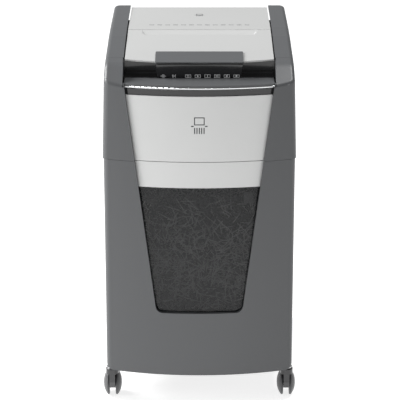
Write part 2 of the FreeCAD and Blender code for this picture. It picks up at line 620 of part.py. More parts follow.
def cutter_front():
    """Front cutter cylinder with the belt pulley on its left end."""
    return fuse([cutter(FRONT_Y, first_disc(False), PULLEY_X, SYNC_X + GEAR_WIDTH), pulley(FRONT_Y, CUT_Z)])


def cutter_rear():
    return cutter(REAR_Y, first_disc(True), -PLATE_X - PLATE_THICK - 2, DRIVE_X + TRAIN_WIDTH)


def sync_gears():
    """Phases of the pair of equal gears that keep the cutters in step."""
    return 0.0, meshing_phase(SYNC_TEETH, 0.0, 0.0, SYNC_TEETH)


def sync_gear_front():
    return gear(SYNC_TEETH, SYNC_MODULE, SYNC_X, GEAR_WIDTH, FRONT_Y, CUT_Z, sync_gears()[0], JOURNAL_RADIUS)


def sync_gear_rear():
    return gear(SYNC_TEETH, SYNC_MODULE, SYNC_X, GEAR_WIDTH, REAR_Y, CUT_Z, sync_gears()[1], JOURNAL_RADIUS)


def drive_gear():
    return gear(DRIVE_TEETH, TRAIN_MODULE, DRIVE_X, TRAIN_WIDTH, REAR_Y, CUT_Z, 0.0, JOURNAL_RADIUS)


def idler_gear():
    """Compound idler: small pinion under the drive gear's plane, large wheel beside it."""
    pinion_phase = meshing_phase(DRIVE_TEETH, 0.0, 0.0, IDLER_PINION_TEETH)
    pinion = gear(IDLER_PINION_TEETH, TRAIN_MODULE, DRIVE_X, WHEEL_X - DRIVE_X, IDLER_Y, CUT_Z, pinion_phase, 0)
    wheel = gear(IDLER_WHEEL_TEETH, TRAIN_MODULE, WHEEL_X, TRAIN_WIDTH, IDLER_Y, CUT_Z, 0.0, 0)
    return fuse([pinion, wheel]).cut(rod(STUD_RADIUS + RUNNING_FIT, "x", 140, 180, IDLER_Y, CUT_Z))


def motor_pinion():
    """Motor shaft with its pinion."""
    phase = meshing_phase(IDLER_WHEEL_TEETH, 0.0, 0.0, MOTOR_TEETH)
    pinion = gear(MOTOR_TEETH, TRAIN_MODULE, WHEEL_X, TRAIN_WIDTH, MOTOR_Y, CUT_Z, phase, 0)
    return fuse([pinion, rod(4, "x", 60, WHEEL_X, MOTOR_Y, CUT_Z)])


def drive_motor():
    """Motor can with a front boss that seats against the right frame plate."""
    can = rounded(rod(38, "x", 10, 112, MOTOR_Y, CUT_Z), 4, lambda e: e.Length > 200)
    boss = rod(16, "x", 112, PLATE_X, MOTOR_Y, CUT_Z)
    return fuse([can, boss]).cut(rod(4 + RUNNING_FIT, "x", 58, 140, MOTOR_Y, CUT_Z))


def frame_plate(right):
    x0 = PLATE_X if right else -PLATE_X - PLATE_THICK
    plate = side_prism(PLATE_CORNERS, x0, x0 + PLATE_THICK)
    bores = [(BEARING_RADIUS, FRONT_Y, CUT_Z), (BEARING_RADIUS, REAR_Y, CUT_Z)]
    bores += [(5 + RUNNING_FIT, NIP_Y - ROLLER_REACH, ROLLER_Z), (5 + RUNNING_FIT, NIP_Y + ROLLER_REACH, ROLLER_Z)]
    if right:
        bores += [(6, MOTOR_Y, CUT_Z), (STUD_RADIUS, IDLER_Y, CUT_Z)]
    return plate.cut(group(rod(r, "x", x0 - 1, x0 + PLATE_THICK + 1, y, z) for r, y, z in bores))


def cutter_bearings():
    rings = []
    for x0 in (-PLATE_X - PLATE_THICK, PLATE_X):
        for y in (FRONT_Y, REAR_Y):
            ring = rod(BEARING_RADIUS, "x", x0, x0 + PLATE_THICK, y, CUT_Z)
            rings.append(ring.cut(rod(JOURNAL_RADIUS + RUNNING_FIT, "x", x0 - 1, x0 + 10, y, CUT_Z)))
    return group(rings)


def tie_rods():
    """Steel bars between the frame plates, and the stud that carries the idler."""
    bars = [rod(5, "x", -PLATE_X, PLATE_X, y, z) for y, z in TIE_ROD_PLACES]
    return group(bars + [rod(STUD_RADIUS, "x", PLATE_X, WHEEL_X + TRAIN_WIDTH + 1, IDLER_Y, CUT_Z)])


def cutter_combs():
    """Two stripper combs whose fingers clear paper from between the discs."""
    combs = []
    for axis_y, outward, first in ((FRONT_Y, -1, first_disc(False)), (REAR_Y, 1, first_disc(True))):
        near, far = axis_y + outward * (CORE_RADIUS + 1.2), axis_y + outward * 30
        spine0, spine1 = sorted((far, far + outward * 4))
        parts = [box(-PLATE_X, PLATE_X, spine0, spine1, CUT_Z - 14, CUT_Z + 14)]
        y0, y1 = sorted((near, far))
        for i in range(CUTTER_COUNT - 1):
            x = first + i * CUTTER_PITCH + CUTTER_WIDTH + 0.8
            parts.append(box(x, x + CUTTER_PITCH - CUTTER_WIDTH - 1.6, y0, y1, CUT_Z - 5, CUT_Z + 5))
        combs.append(fuse(parts))
    return group(combs)


def feed_roller(y, phase, left_end):
    """Steel-cored rubber feed roller with its gear on the right."""
    sleeve = [rod(ROLLER_RADIUS, "x", x0, x0 + 44, y, ROLLER_Z) for x0 in (-82, -22, 38)]
    shaft = rod(5, "x", left_end, PLATE_X + 16, y, ROLLER_Z)
    wheel = gear(ROLLER_TEETH, TRAIN_MODULE, PLATE_X + 6, 8, y, ROLLER_Z, phase, 0)
    return fuse(sleeve + [shaft, wheel])


def feed_roller_front():
    """Front roller with the belt pulley on its left end."""
    y = NIP_Y - ROLLER_REACH
    return fuse([feed_roller(y, 0.0, PULLEY_X), pulley(y, ROLLER_Z)])


def feed_roller_rear():
    return feed_roller(NIP_Y + ROLLER_REACH, meshing_phase(ROLLER_TEETH, 0.0, 0.0, ROLLER_TEETH), -PLATE_X - 5)


def belt_loop(radius, x0, width):
    """Flat-sided loop round the cutter and roller pulleys."""
    low, high = V(x0, FRONT_Y, CUT_Z), V(x0, NIP_Y - ROLLER_REACH, ROLLER_Z)
    along = (high - low).normalize()
    side = along.cross(X_AXIS).normalize()
    wire = Part.Wire([
        Part.Arc(low + side * radius, low - along * radius, low - side * radius).toShape(),
        Part.LineSegment(low - side * radius, high - side * radius).toShape(),
        Part.Arc(high - side * radius, high + along * radius, high + side * radius).toShape(),
        Part.LineSegment(high + side * radius, low + side * radius).toShape()])
    return Part.Face(wire).extrude(V(width, 0, 0))


def feed_belt():
    """Belt that turns the feed rollers with the cutters."""
    inner = belt_loop(PULLEY_RADIUS + 0.3, PULLEY_X + 0.5, PULLEY_WIDTH - 1)
    return belt_loop(PULLEY_RADIUS + 2.0, PULLEY_X + 0.5, PULLEY_WIDTH - 1).cut(inner)


def pulley(y, z):
    return rod(PULLEY_RADIUS, "x", PULLEY_X, PULLEY_X + PULLEY_WIDTH, y, z)


def chassis_deck():
    """Steel shelf that carries the cutting head, open below the cutters."""
    deck = box(-200, 200, -214, 250, DECK_TOP_Z - 3, DECK_TOP_Z)
    corners = Part.Face(plan_wire(FLARE_HALF_WIDTH - WALL - 0.5, WALL + 0.4, DECK_TOP_Z - 4)).extrude(V(0, 0, 10))
    return deck.common(corners).cut(box(-120, 120, NIP_Y - 50, NIP_Y + 50, 500, 560))


def paper_tray():
    """Deck under the lid with a well for the stack and an opening over the feed rollers."""
    top = box(-182, 182, ARM_SEAM_Y, 240, 693, 696)
    well = box(-WELL_HALF_X - 3, WELL_HALF_X + 3, WELL_FRONT - 3, WELL_BACK + 3, TRAY_FLOOR_Z - 3, 696)
    hollow = box(-WELL_HALF_X, WELL_HALF_X, WELL_FRONT, WELL_BACK, TRAY_FLOOR_Z, 700)
    mouth = box(-108, 108, NIP_Y - 31, NIP_Y + 31, 650, 670)
    return fuse([top, well]).cut(hollow).cut(mouth)


def feed_throat():
    """Two sloping guides between the rollers and the cutters."""
    guides = []
    for side in (-1, 1):
        guides.append(side_prism([(NIP_Y + side * 26, 633), (NIP_Y + side * 24, 633), (NIP_Y + side * 5, 619),
                                  (NIP_Y + side * 7, 619)], -PLATE_X, PLATE_X))
    return group(guides)


# ---- electrics ------------------------------------------------------------------------


def inlet_room():
    return box(INLET_X - 14.2, INLET_X + 14.2, 240, 260, INLET_Z - 12.2, INLET_Z + 12.2)


def switch_room():
    return box(SWITCH_X - 6.7, SWITCH_X + 6.7, 240, 260, INLET_Z - 9.7, INLET_Z + 9.7)


def power_inlet():
    """Appliance inlet with three flat pins in a shaped socket."""
    x, z = INLET_X, INLET_Z
    body = box(x - 14, x + 14, 226, HALF_DEPTH - 0.4, z - 12, z + 12)
    socket = front_prism([(x - 12, z - 8), (x + 12, z - 8), (x + 12, z + 3), (x + 7, z + 8), (x - 7, z + 8),
                          (x - 12, z + 3)], 236, 260)
    pins = [box(x + dx - 1, x + dx + 1, 235, 251, z + dz - 2, z + dz + 2)
            for dx, dz in ((-7, -2), (0, 2), (7, -2))]
    return fuse([body.cut(socket)] + pins)


def switch_frame():
    """Square bezel of the mains switch."""
    body = box(SWITCH_X - 6.5, SWITCH_X + 6.5, 236, HALF_DEPTH - 0.4, INLET_Z - 9.5, INLET_Z + 9.5)
    pivot = rod(ROCKER_PIN_RADIUS + RUNNING_FIT, "x", SWITCH_X - 6, SWITCH_X + 6, ROCKER_AXIS_Y, INLET_Z)
    return body.cut(group([box(SWITCH_X - 5, SWITCH_X + 5, 239, 260, INLET_Z - 8, INLET_Z + 8), pivot]))


def power_rocker():
    """Rocker of the mains switch, lying tipped to its off side."""
    rocker = side_prism([(241.5, INLET_Z), (243.5, INLET_Z - 6), (251.5, INLET_Z - 6.6, 1), (250, INLET_Z, 6),
                         (251.5, INLET_Z + 6.6, 1), (243.5, INLET_Z + 6)], SWITCH_X - 4.6, SWITCH_X + 4.6)
    rocker = fuse([rocker, rod(ROCKER_PIN_RADIUS, "x", SWITCH_X - 5.9, SWITCH_X + 5.9, ROCKER_AXIS_Y, INLET_Z)])
    rocker.rotate(V(SWITCH_X, ROCKER_AXIS_Y, INLET_Z), X_AXIS, -ROCKER_TILT)
    return rocker


def control_board():
    """Circuit board behind the silver fascia with a few blocks standing on it."""
    board = box(-110, 110, -214, -212.4, 560, 640)
    blocks = [box(x, x + w, -212.4, -212.4 + d, z, z + h) for x, w, d, z, h in
              ((-95, 30, 12, 575, 24), (-50, 22, 16, 600, 22), (-10, 40, 9, 570, 30), (50, 18, 20, 596, 18),
               (80, 16, 11, 572, 40))]
    return fuse([board] + blocks)


# ---- drawer ---------------------------------------------------------------------------
def drawer_front():
    """Grey front moulding: wraps both front corners, with a recessed trapezoid opening."""
    form = box(-220, 220, -300, DRAWER_FACE_Y, 0, SEAM_Z)
    shell = lower_body(0, SEAM_Z - GAP).cut(lower_body(WALL, SEAM_Z - GAP - WALL)).common(form)
    wedge = panel_wedge(PANEL_FOOT_Z, SEAM_Z + 5, 0.4, PANEL_FOOT_RADIUS)
    lip = panel_wedge(PANEL_FOOT_Z - PANEL_LIP, SEAM_Z - GAP, PANEL_LIP, PANEL_FOOT_RADIUS)
    lip = lip.common(front_skin(WALL - 0.5, 9.5, 160, 190, SEAM_Z - GAP)).cut(wedge)
    frame = box(-186, 186, DRAWER_FACE_Y - 3, DRAWER_FACE_Y, BASE_Z + 3, SEAM_Z - 4)
    frame = frame.cut(box(-TUB_HALF, TUB_HALF, -200, -180, TUB_FLOOR_Z, TUB_TOP_Z + 8))
    front_cut = wedge.common(box(-200, 200, -300, -215, 0, 600))
    return shell.cut(front_cut).multiFuse([lip, frame]).removeSplitter()


def drawer_band():
    panel = front_skin(PANEL_RECESS, WALL, 150, BAND_FOOT_Z + 0.3, SEAM_Z - GAP - 0.3)
    return panel.common(panel_wedge(PANEL_FOOT_Z, SEAM_Z))


def bin_window():
    """Smoked window below the silver band."""
    panel = front_skin(PANEL_RECESS + 0.5, WALL, 150, PANEL_FOOT_Z, BAND_FOOT_Z)
    return panel.common(panel_wedge(PANEL_FOOT_Z + 0.2, SEAM_Z, 0.0, PANEL_FOOT_RADIUS))


def waste_bin():
    """Open-topped tub; its low front wall leaves the shreds in view behind the window."""
    outer = box(-TUB_HALF, TUB_HALF, TUB_FRONT, TUB_BACK, TUB_FLOOR_Z, TUB_TOP_Z)
    outer = rounded(outer, 12, lambda e: e.BoundBox.ZLength > 300)
    inner = box(-TUB_HALF + 2.5, TUB_HALF - 2.5, TUB_FRONT + 2.5, TUB_BACK - 2.5, TUB_FLOOR_Z + 2.5, 600)
    inner = rounded(inner, 9.5, lambda e: e.BoundBox.ZLength > 300)
    window = box(-TUB_HALF + 14, TUB_HALF - 14, -300, TUB_FRONT + 10, 205, 600)
    return outer.cut(inner).cut(window)


def drawer_runners():
    bars = []
    for side in (-1, 1):
        x0, x1 = sorted((side * TUB_HALF, side * 184))
        bars.append(box(x0, x1, DRAWER_FACE_Y, TUB_BACK, RAIL_Z - RUNNER_HALF_HEIGHT, RAIL_Z + RUNNER_HALF_HEIGHT))
    return group(bars)


def drawer_rails():
    """Channels on the side panels that the drawer's runners slide in."""
    channels = []
    for side in (-1, 1):
        x0, x1 = sorted((side * 175, side * (LOWER_HALF_WIDTH - WALL)))
        c0, c1 = sorted((side * 170, side * 184.4))
        outer = box(x0, x1, DRAWER_FACE_Y + 2, 236, RAIL_Z - 11, RAIL_Z + 11)
        inner = box(c0, c1, -300, 300, RAIL_Z - RUNNER_HALF_HEIGHT - 0.4, RAIL_Z + RUNNER_HALF_HEIGHT + 0.4)
        channels.append(outer.cut(inner))
    return group(channels)


# ---- castors --------------------------------------------------------------------------
def castor_places():
    """Name and swivel axis of each castor."""
    return [("front_left", -CASTOR_X, CASTOR_FRONT_Y), ("front_right", CASTOR_X, CASTOR_FRONT_Y),
            ("rear_left", -CASTOR_X, CASTOR_REAR_Y), ("rear_right", CASTOR_X, CASTOR_REAR_Y)]


def castor_pins():
    """Steel swivel pins under the base tray, each with a flange."""
    pins = []
    for _, x, y in castor_places():
        flange = rod(11, "z", HUB_TOP_Z + 0.4, PIN_SEAT_Z, x, y)
        pins.append(fuse([flange, rod(CASTOR_PIN_RADIUS, "z", 42, HUB_TOP_Z + 1, x, y)]))
    return group(pins)


def castor_fork(x, y):
    """Black hood between the wheels: hub round the swivel pin, web and axle."""
    wheel_y = y + CASTOR_TRAIL
    web = side_prism([(y - 11, HUB_TOP_Z - 4), (y - 13, 40, 10), (y - 4, 22, 8), (wheel_y + 12, 18, 8),
                      (wheel_y + 14, 46, 12), (y + 16, 60, 4), (y + 11, HUB_TOP_Z - 4)], x - 6, x + 6)
    hub = rod(HUB_RADIUS, "z", HUB_FOOT_Z, HUB_TOP_Z, x, y)
    hub = rounded(hub, 3, lambda e: e.BoundBox.ZMin > HUB_TOP_Z - 0.1 and e.Length > 60)
    axle = rod(3, "x", x - 16, x + 16, wheel_y, WHEEL_RADIUS)
    return fuse([web, hub, axle]).cut(rod(CASTOR_PIN_RADIUS + RUNNING_FIT, "z", 41.5, 80, x, y))


def castor_wheel(x, y, side):
    """One domed wheel of a twin castor; side is +1 or -1."""
    axle_z, wheel_y = WHEEL_RADIUS, y + CASTOR_TRAIL

    def at(across, radius):
        return V(x + side * across, wheel_y, axle_z + radius)

    tread = WHEEL_INNER + 4.0
    dome = Part.Arc(at(tread, WHEEL_RADIUS - 0.6), at(WHEEL_OUTER - 2.4, WHEEL_RADIUS * 0.58),
                    at(WHEEL_OUTER, WHEEL_CAP_RADIUS)).toShape()
    outline_ = Part.Wire([
        Part.LineSegment(at(WHEEL_INNER, 0), at(WHEEL_INNER, WHEEL_RADIUS - 1)).toShape(),
        Part.Arc(at(WHEEL_INNER, WHEEL_RADIUS - 1), at(WHEEL_INNER + 2, WHEEL_RADIUS),
                 at(tread, WHEEL_RADIUS - 0.6)).toShape(),
        dome, Part.LineSegment(at(WHEEL_OUTER, WHEEL_CAP_RADIUS), at(WHEEL_OUTER, 0)).toShape(),
        Part.LineSegment(at(WHEEL_OUTER, 0), at(WHEEL_INNER, 0)).toShape()])
    wheel = Part.Face(outline_).revolve(V(x, wheel_y, axle_z), X_AXIS, 360)
    reach = sorted((x + side * 4, x + side * 16.4))
    return wheel.cut(rod(3 + RUNNING_FIT, "x", reach[0], reach[1], wheel_y, axle_z))


# ---- fasteners ------------------------------------------------------------------------
def cover_screws():
    """Pan-head screws that hold the rear cover to the side panels."""
    screws = []
    for x, z in SCREW_PLACES:
        head = rounded(rod(SCREW_HEAD_RADIUS, "y", HALF_DEPTH - 2.0, HALF_DEPTH, x, z), 0.8,
                       lambda e: e.BoundBox.YMin > HALF_DEPTH - 0.1 and e.Length > 20)
        screws.append(fuse([head, rod(SCREW_SHANK_RADIUS, "y", HALF_DEPTH - 10, HALF_DEPTH - 2, x, z)]))
    return screws


# ---- output ---------------------------------------------------------------------------
def build():
    shell = upper_shell()
    right = side_panel_right()
    rail = lid_rail(shell)
    nodes = {
        "base_tray": base_tray(), "side_panel_right": right, "side_panel_left": mirrored(right),
        "rear_cover": rear_cover(), "upper_housing": upper_housing(shell), "front_fascia": front_fascia(),
        "fascia_groove": fascia_groove(), "chrome_strip": chrome_strip(), "front_ledge": front_ledge(),
        "pod_recess": pod_recess(), "control_pod": control_pod(), "chassis_deck": chassis_deck(),
        "frame_plate_left": frame_plate(False), "frame_plate_right": frame_plate(True), "tie_rods": tie_rods(),
        "cutter_bearings": cutter_bearings(), "cutter_combs": cutter_combs(), "paper_tray": paper_tray(),
        "feed_throat": feed_throat(), "drive_motor": drive_motor(), "feed_belt": feed_belt(),
        "control_board": control_board(), "power_inlet": power_inlet(), "switch_frame": switch_frame(),
        "power_rocker": power_rocker(), "cover_screws": group(cover_screws()), "drawer_rails": drawer_rails(),
        "castor_pins": castor_pins(),
        "lid_hinge_brackets": lid_hinge_brackets(), "lid_hinge_pins": lid_hinge_pins(),
        "lid_panel": lid_panel(), "lid_rail_right": rail, "lid_rail_left": mirrored(rail),
        "lid_liner": lid_liner(), "slot_guide": slot_guide(), "lid_handle": lid_handle(),
        "pressure_plate": pressure_plate(), "pressure_springs": pressure_springs(),
        "drawer_front": drawer_front(), "drawer_band": drawer_band(), "bin_window": bin_window(),
        "waste_bin": waste_bin(), "drawer_runners": drawer_runners(),
        "cutter_front": cutter_front(), "cutter_rear": cutter_rear(), "sync_gear_front": sync_gear_front(),
        "sync_gear_rear": sync_gear_rear(), "drive_gear": drive_gear(), "idler_gear": idler_gear(),
        "motor_pinion": motor_pinion(), "feed_roller_front": feed_roller_front(),
        "feed_roller_rear": feed_roller_rear(),
    }
    for name, x, y in castor_places():
        nodes["castor_fork_" + name] = castor_fork(x, y)
        nodes["castor_wheels_" + name] = group(castor_wheel(x, y, side) for side in (-1, 1))
    return nodes


def main():
    os.makedirs("parts", exist_ok=True)
    nodes = build()
    for name, shape in nodes.items():
        if not shape.isValid():
            print("invalid:", name)
        print(name, len(shape.Solids), round(shape.Volume / 1000, 1), "cm3")
        shape.exportStep("parts/" + name + ".step")
    print(len(nodes), "nodes")


if __name__ == "__main__":
    main()
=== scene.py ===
"""Looks of a stack-feed paper shredder on castors.

The frame brings every working piece in its place. This file gives each piece its finish, and adds
what the eye looks for round them: shredded paper behind the smoked window, printed symbols, cutter
teeth, roller ribs and other small parts, the floor, the lamps and the camera. Lengths are in metres unless a
name says mm.
"""
from __future__ import annotations

import logging
import math
import random
from dataclasses import dataclass, field
from enum import Enum
from typing import Callable, Iterable, Sequence, Union

import bmesh
import bpy
from mathutils import Matrix, Vector


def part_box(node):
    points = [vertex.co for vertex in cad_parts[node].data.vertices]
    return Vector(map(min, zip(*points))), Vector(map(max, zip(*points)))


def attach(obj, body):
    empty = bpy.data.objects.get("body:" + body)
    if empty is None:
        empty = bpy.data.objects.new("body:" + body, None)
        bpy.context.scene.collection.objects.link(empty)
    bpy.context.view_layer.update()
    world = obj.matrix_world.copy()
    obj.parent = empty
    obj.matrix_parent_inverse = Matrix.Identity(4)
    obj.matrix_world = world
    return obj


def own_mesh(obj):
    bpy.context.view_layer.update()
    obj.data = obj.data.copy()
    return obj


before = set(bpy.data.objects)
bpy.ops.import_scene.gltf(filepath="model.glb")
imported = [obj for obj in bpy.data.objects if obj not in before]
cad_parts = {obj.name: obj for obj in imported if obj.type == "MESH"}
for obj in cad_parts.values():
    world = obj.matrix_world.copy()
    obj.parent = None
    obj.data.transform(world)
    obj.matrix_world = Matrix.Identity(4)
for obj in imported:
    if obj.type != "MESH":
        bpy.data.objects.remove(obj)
LOG = logging.getLogger("shredder")
MM = 0.001
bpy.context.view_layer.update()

Colour = tuple[float, float, float]
Number = Union[float, "Signal"]


# ---- shader arithmetic ------------------------------------------------------------------------
class Signal:
    """A shader socket that can be used in Python arithmetic."""

    def __init__(self, recipe: "Recipe", socket: bpy.types.NodeSocket) -> None:
        """Wrap a socket.

        Args:
            recipe: the material the socket belongs to.
            socket: the output socket.
        """
        self.recipe = recipe
        self.socket = socket

    def __add__(self, other: Number) -> "Signal":
        """Sum."""
        return self.recipe.maths("ADD", self, other)

    def __radd__(self, other: Number) -> "Signal":
        """Sum, with a plain number on the left."""
        return self.recipe.maths("ADD", other, self)

    def __sub__(self, other: Number) -> "Signal":
        """Difference."""
        return self.recipe.maths("SUBTRACT", self, other)

    def __rsub__(self, other: Number) -> "Signal":
        """Difference, with a plain number on the left."""
        return self.recipe.maths("SUBTRACT", other, self)

    def __mul__(self, other: Number) -> "Signal":
        """Product."""
        return self.recipe.maths("MULTIPLY", self, other)

    def __rmul__(self, other: Number) -> "Signal":
        """Product, with a plain number on the left."""
        return self.recipe.maths("MULTIPLY", other, self)


class Recipe:
    """One material while its nodes are being put together."""

    def __init__(self, name: str) -> None:
        """Start a material with a plain principled surface.

        Args:
            name: the material's name.
        """
        self.material = bpy.data.materials.new(name)
        self.material.use_nodes = True
        self.tree = self.material.node_tree
        self.surface = next(n for n in self.tree.nodes if n.type == "BSDF_PRINCIPLED")

    def feed(self, socket: bpy.types.NodeSocket, value: object) -> None:
        """Link a signal to a socket, or set the socket to a plain value.

        Args:
            socket: the input socket.
            value: a Signal, a number, or a colour or vector tuple.
        """
        if isinstance(value, Signal):
            self.tree.links.new(value.socket, socket)
        elif isinstance(value, tuple) and len(value) == 3 and socket.type == "RGBA":
            socket.default_value = (*value, 1.0)
        else:
            socket.default_value = value

    def node(self, kind: str, settings: dict | None = None, sockets: dict | None = None,
             output: int | str = 0) -> Signal:
        """Add any node.

        Args:
            kind: the node's type name.
            settings: properties set before its sockets, with "stops" for a colour ramp's stops.
            sockets: values or links of its inputs, by name or number.
            output: which output to return.

        Returns:
            The chosen output as a signal.
        """
        made = self.tree.nodes.new(kind)
        for key, value in (settings or {}).items():
            if key == "stops":
                for element, (place, tone) in zip(made.color_ramp.elements, value):
                    element.position, element.color = place, (tone, tone, tone, 1.0)
            else:
                setattr(made, key, value)
        for key, value in (sockets or {}).items():
            self.feed(made.inputs[key], value)
        return Signal(self, made.outputs[output])

    def maths(self, operation: str, left: Number, right: Number) -> Signal:
        """Add a Math node on two numbers or signals and return its result."""
        return self.node("ShaderNodeMath", {"operation": operation}, {0: left, 1: right})

    def place(self, stretch: Sequence[float] = (1, 1, 1)) -> Signal:
        """Object coordinates, stretched along each axis.

        Args:
            stretch: how many times denser the pattern is along X, Y and Z.

        Returns:
            A vector signal.
        """
        where = self.node("ShaderNodeTexCoord", output="Object")
        return self.node("ShaderNodeMapping", {}, {"Vector": where, "Scale": tuple(stretch)})

    def noise(self, size: float, detail: float = 2.0, stretch: Sequence[float] = (1, 1, 1)) -> Signal:
        """Soft random pattern.

        Args:
            size: the size of one blotch.
            detail: octaves of finer pattern.
            stretch: density along each axis.

        Returns:
            Values from 0 to 1.
        """
        sockets = {"Vector": self.place(stretch), "Scale": 1.0 / size, "Detail": detail}
        return self.node("ShaderNodeTexNoise", {}, sockets)

    def ramp(self, value: Signal, low: float, high: float) -> Signal:
        """Stretch the part of a pattern between two levels to the whole of 0 to 1."""
        return self.node("ShaderNodeValToRGB", {"stops": [(low, 0.0), (high, 1.0)]}, {"Fac": value})

    def tint(self, share: Number, low: Colour, high: Colour) -> Signal:
        """Colour between low and high by share, through a Mix node."""
        return self.node("ShaderNodeMix", {"data_type": "RGBA"}, {0: share, 6: low, 7: high}, output=2)

    def relief(self, height: Signal, depth: float, strength: float = 1.0) -> Signal:
        """Bump of a real depth.

        Args:
            height: the pattern, from 0 to 1.
            depth: how deep it is, in metres.
            strength: share of the full effect.

        Returns:
            A normal for the surface.
        """
        return self.node("ShaderNodeBump", {}, {"Height": height, "Distance": depth, "Strength": strength})

    def set(self, **values: object) -> bpy.types.Material:
        """Feed the surface's sockets, named with _ for a space, and return the material."""
        for name, value in values.items():
            self.feed(self.surface.inputs[name.replace("_", " ")], value)
        return self.material


def shade(colour: Colour, factor: float) -> Colour:
    """The colour made lighter or darker by a factor."""
    return tuple(min(1.0, part * factor) for part in colour)


# ---- finishes ---------------------------------------------------------------------------------
@dataclass(frozen=True)
class Finish:
    """What every finish has: a name, a colour and a roughness."""

    name: str
    colour: Colour
    roughness: float

    def mix(self) -> bpy.types.Material:
        """Make the material; each kind of finish has its own way."""
        return Recipe(self.name).set(Base_Color=self.colour, Roughness=self.roughness)


@dataclass(frozen=True)
class MouldedPlastic(Finish):
    """Injection-moulded plastic with a fine spark-eroded grain."""

    grain: float = 0.9 * MM
    depth: float = 0.035 * MM
    mottle: float = 0.05

    def mix(self) -> bpy.types.Material:
        """Grain in the relief, slow drift in colour and sheen."""
        recipe = Recipe(self.name)
        drift = recipe.noise(180 * MM, 3)
        speck = recipe.noise(self.grain, 3)
        share = 0.75 * drift + 0.25 * speck
        tone = recipe.tint(share, shade(self.colour, 1 - self.mottle), shade(self.colour, 1 + self.mottle))
        rough = self.roughness + 0.10 * (drift - 0.5) + 0.10 * (speck - 0.5)
        return recipe.set(Base_Color=tone, Roughness=rough, Normal=recipe.relief(speck, self.depth),
                          Specular_IOR_Level=0.5)


@dataclass(frozen=True)
class SatinPaint(Finish):
    """Silver paint: fine flake under a satin lacquer."""

    flake: float = 0.45 * MM
    metallic: float = 0.35

    def mix(self) -> bpy.types.Material:
        """Flake sparkles in colour and sheen, and the lacquer has a faint orange peel."""
        recipe = Recipe(self.name)
        flake = recipe.noise(self.flake, 1)
        peel = recipe.noise(5 * MM, 2)
        drift = recipe.noise(250 * MM, 2)
        share = 0.6 * flake + 0.4 * drift
        tone = recipe.tint(share, shade(self.colour, 0.93), shade(self.colour, 1.06))
        rough = self.roughness + 0.12 * (flake - 0.5)
        return recipe.set(Base_Color=tone, Roughness=rough, Metallic=self.metallic,
                          Normal=recipe.relief(peel, 0.02 * MM), Coat_Weight=0.25, Coat_Roughness=0.22)


@dataclass(frozen=True)
class GlossPlastic(Finish):
    """Polished black plastic with a hint of handling haze."""

    def mix(self) -> bpy.types.Material:
        """Gloss with slow ripples and soft haze."""
        recipe = Recipe(self.name)
        haze = recipe.ramp(recipe.noise(38 * MM, 4), 0.45, 0.75)
        ripple = recipe.noise(60 * MM, 1)
        rough = self.roughness + 0.06 * haze
        tone = recipe.tint(haze, self.colour, shade(self.colour, 1.35))
        return recipe.set(Base_Color=tone, Roughness=rough, Normal=recipe.relief(ripple, 0.05 * MM),
                          Coat_Weight=0.6, Coat_Roughness=0.05)


@dataclass(frozen=True)
class Chrome(Finish):
    """Bright plated trim."""

    def mix(self) -> bpy.types.Material:
        """Mirror with faint polishing haze."""
        recipe = Recipe(self.name)
        haze = recipe.noise(9 * MM, 3, (0.2, 1, 1))
        return recipe.set(Base_Color=self.colour, Metallic=1.0, Roughness=self.roughness + 0.08 * haze)


@dataclass(frozen=True)
class SmokedGlazing(Finish):
    """Tinted clear plastic that shows what is behind it."""

    density: float = 0.5

    def mix(self) -> bpy.types.Material:
        """Dark see-through sheet with a polished face."""
        recipe = Recipe(self.name)
        haze = recipe.noise(45 * MM, 4)
        made = recipe.set(Base_Color=self.colour, Roughness=self.roughness + 0.05 * haze, Alpha=self.density,
                          Specular_IOR_Level=0.5)
        made.surface_render_method = "BLENDED"
        return made


@dataclass(frozen=True)
class BrushedMetal(Finish):
    """Metal with drawn or ground marks along one axis."""

    grain: Sequence[float] = (0.04, 1, 1)
    line: float = 0.5 * MM

    def mix(self) -> bpy.types.Material:
        """Long streaks in sheen and relief, and darker traces of oil."""
        recipe = Recipe(self.name)
        streak = recipe.noise(self.line, 3, self.grain)
        stain = recipe.ramp(recipe.noise(30 * MM, 4), 0.4, 0.8)
        tone = recipe.tint(stain, shade(self.colour, 1.05), shade(self.colour, 0.75))
        rough = self.roughness + 0.25 * (streak - 0.5) + 0.10 * stain
        return recipe.set(Base_Color=tone, Metallic=0.95, Roughness=rough,
                          Normal=recipe.relief(streak, 0.02 * MM))


@dataclass(frozen=True)
class Rubber(Finish):
    """Matt black rubber with a dusty bloom."""

    def mix(self) -> bpy.types.Material:
        """Bloom on a fine rough skin."""
        recipe = Recipe(self.name)
        bloom = recipe.ramp(recipe.noise(16 * MM, 5), 0.4, 0.8)
        skin = recipe.noise(0.5 * MM, 2)
        tone = recipe.tint(bloom, self.colour, shade(self.colour, 1.9))
        return recipe.set(Base_Color=tone, Roughness=self.roughness + 0.12 * bloom,
                          Normal=recipe.relief(skin, 0.04 * MM))


@dataclass(frozen=True)
class PaintedCan(Finish):
    """Enamelled motor can."""

    def mix(self) -> bpy.types.Material:
        """Enamel with orange peel and patches of dust."""
        recipe = Recipe(self.name)
        peel = recipe.noise(2.2 * MM, 2)
        dust = recipe.ramp(recipe.noise(22 * MM, 4), 0.45, 0.85)
        tone = recipe.tint(dust, self.colour, shade(self.colour, 1.7))
        return recipe.set(Base_Color=tone, Roughness=self.roughness + 0.2 * dust,
                          Normal=recipe.relief(peel, 0.03 * MM))


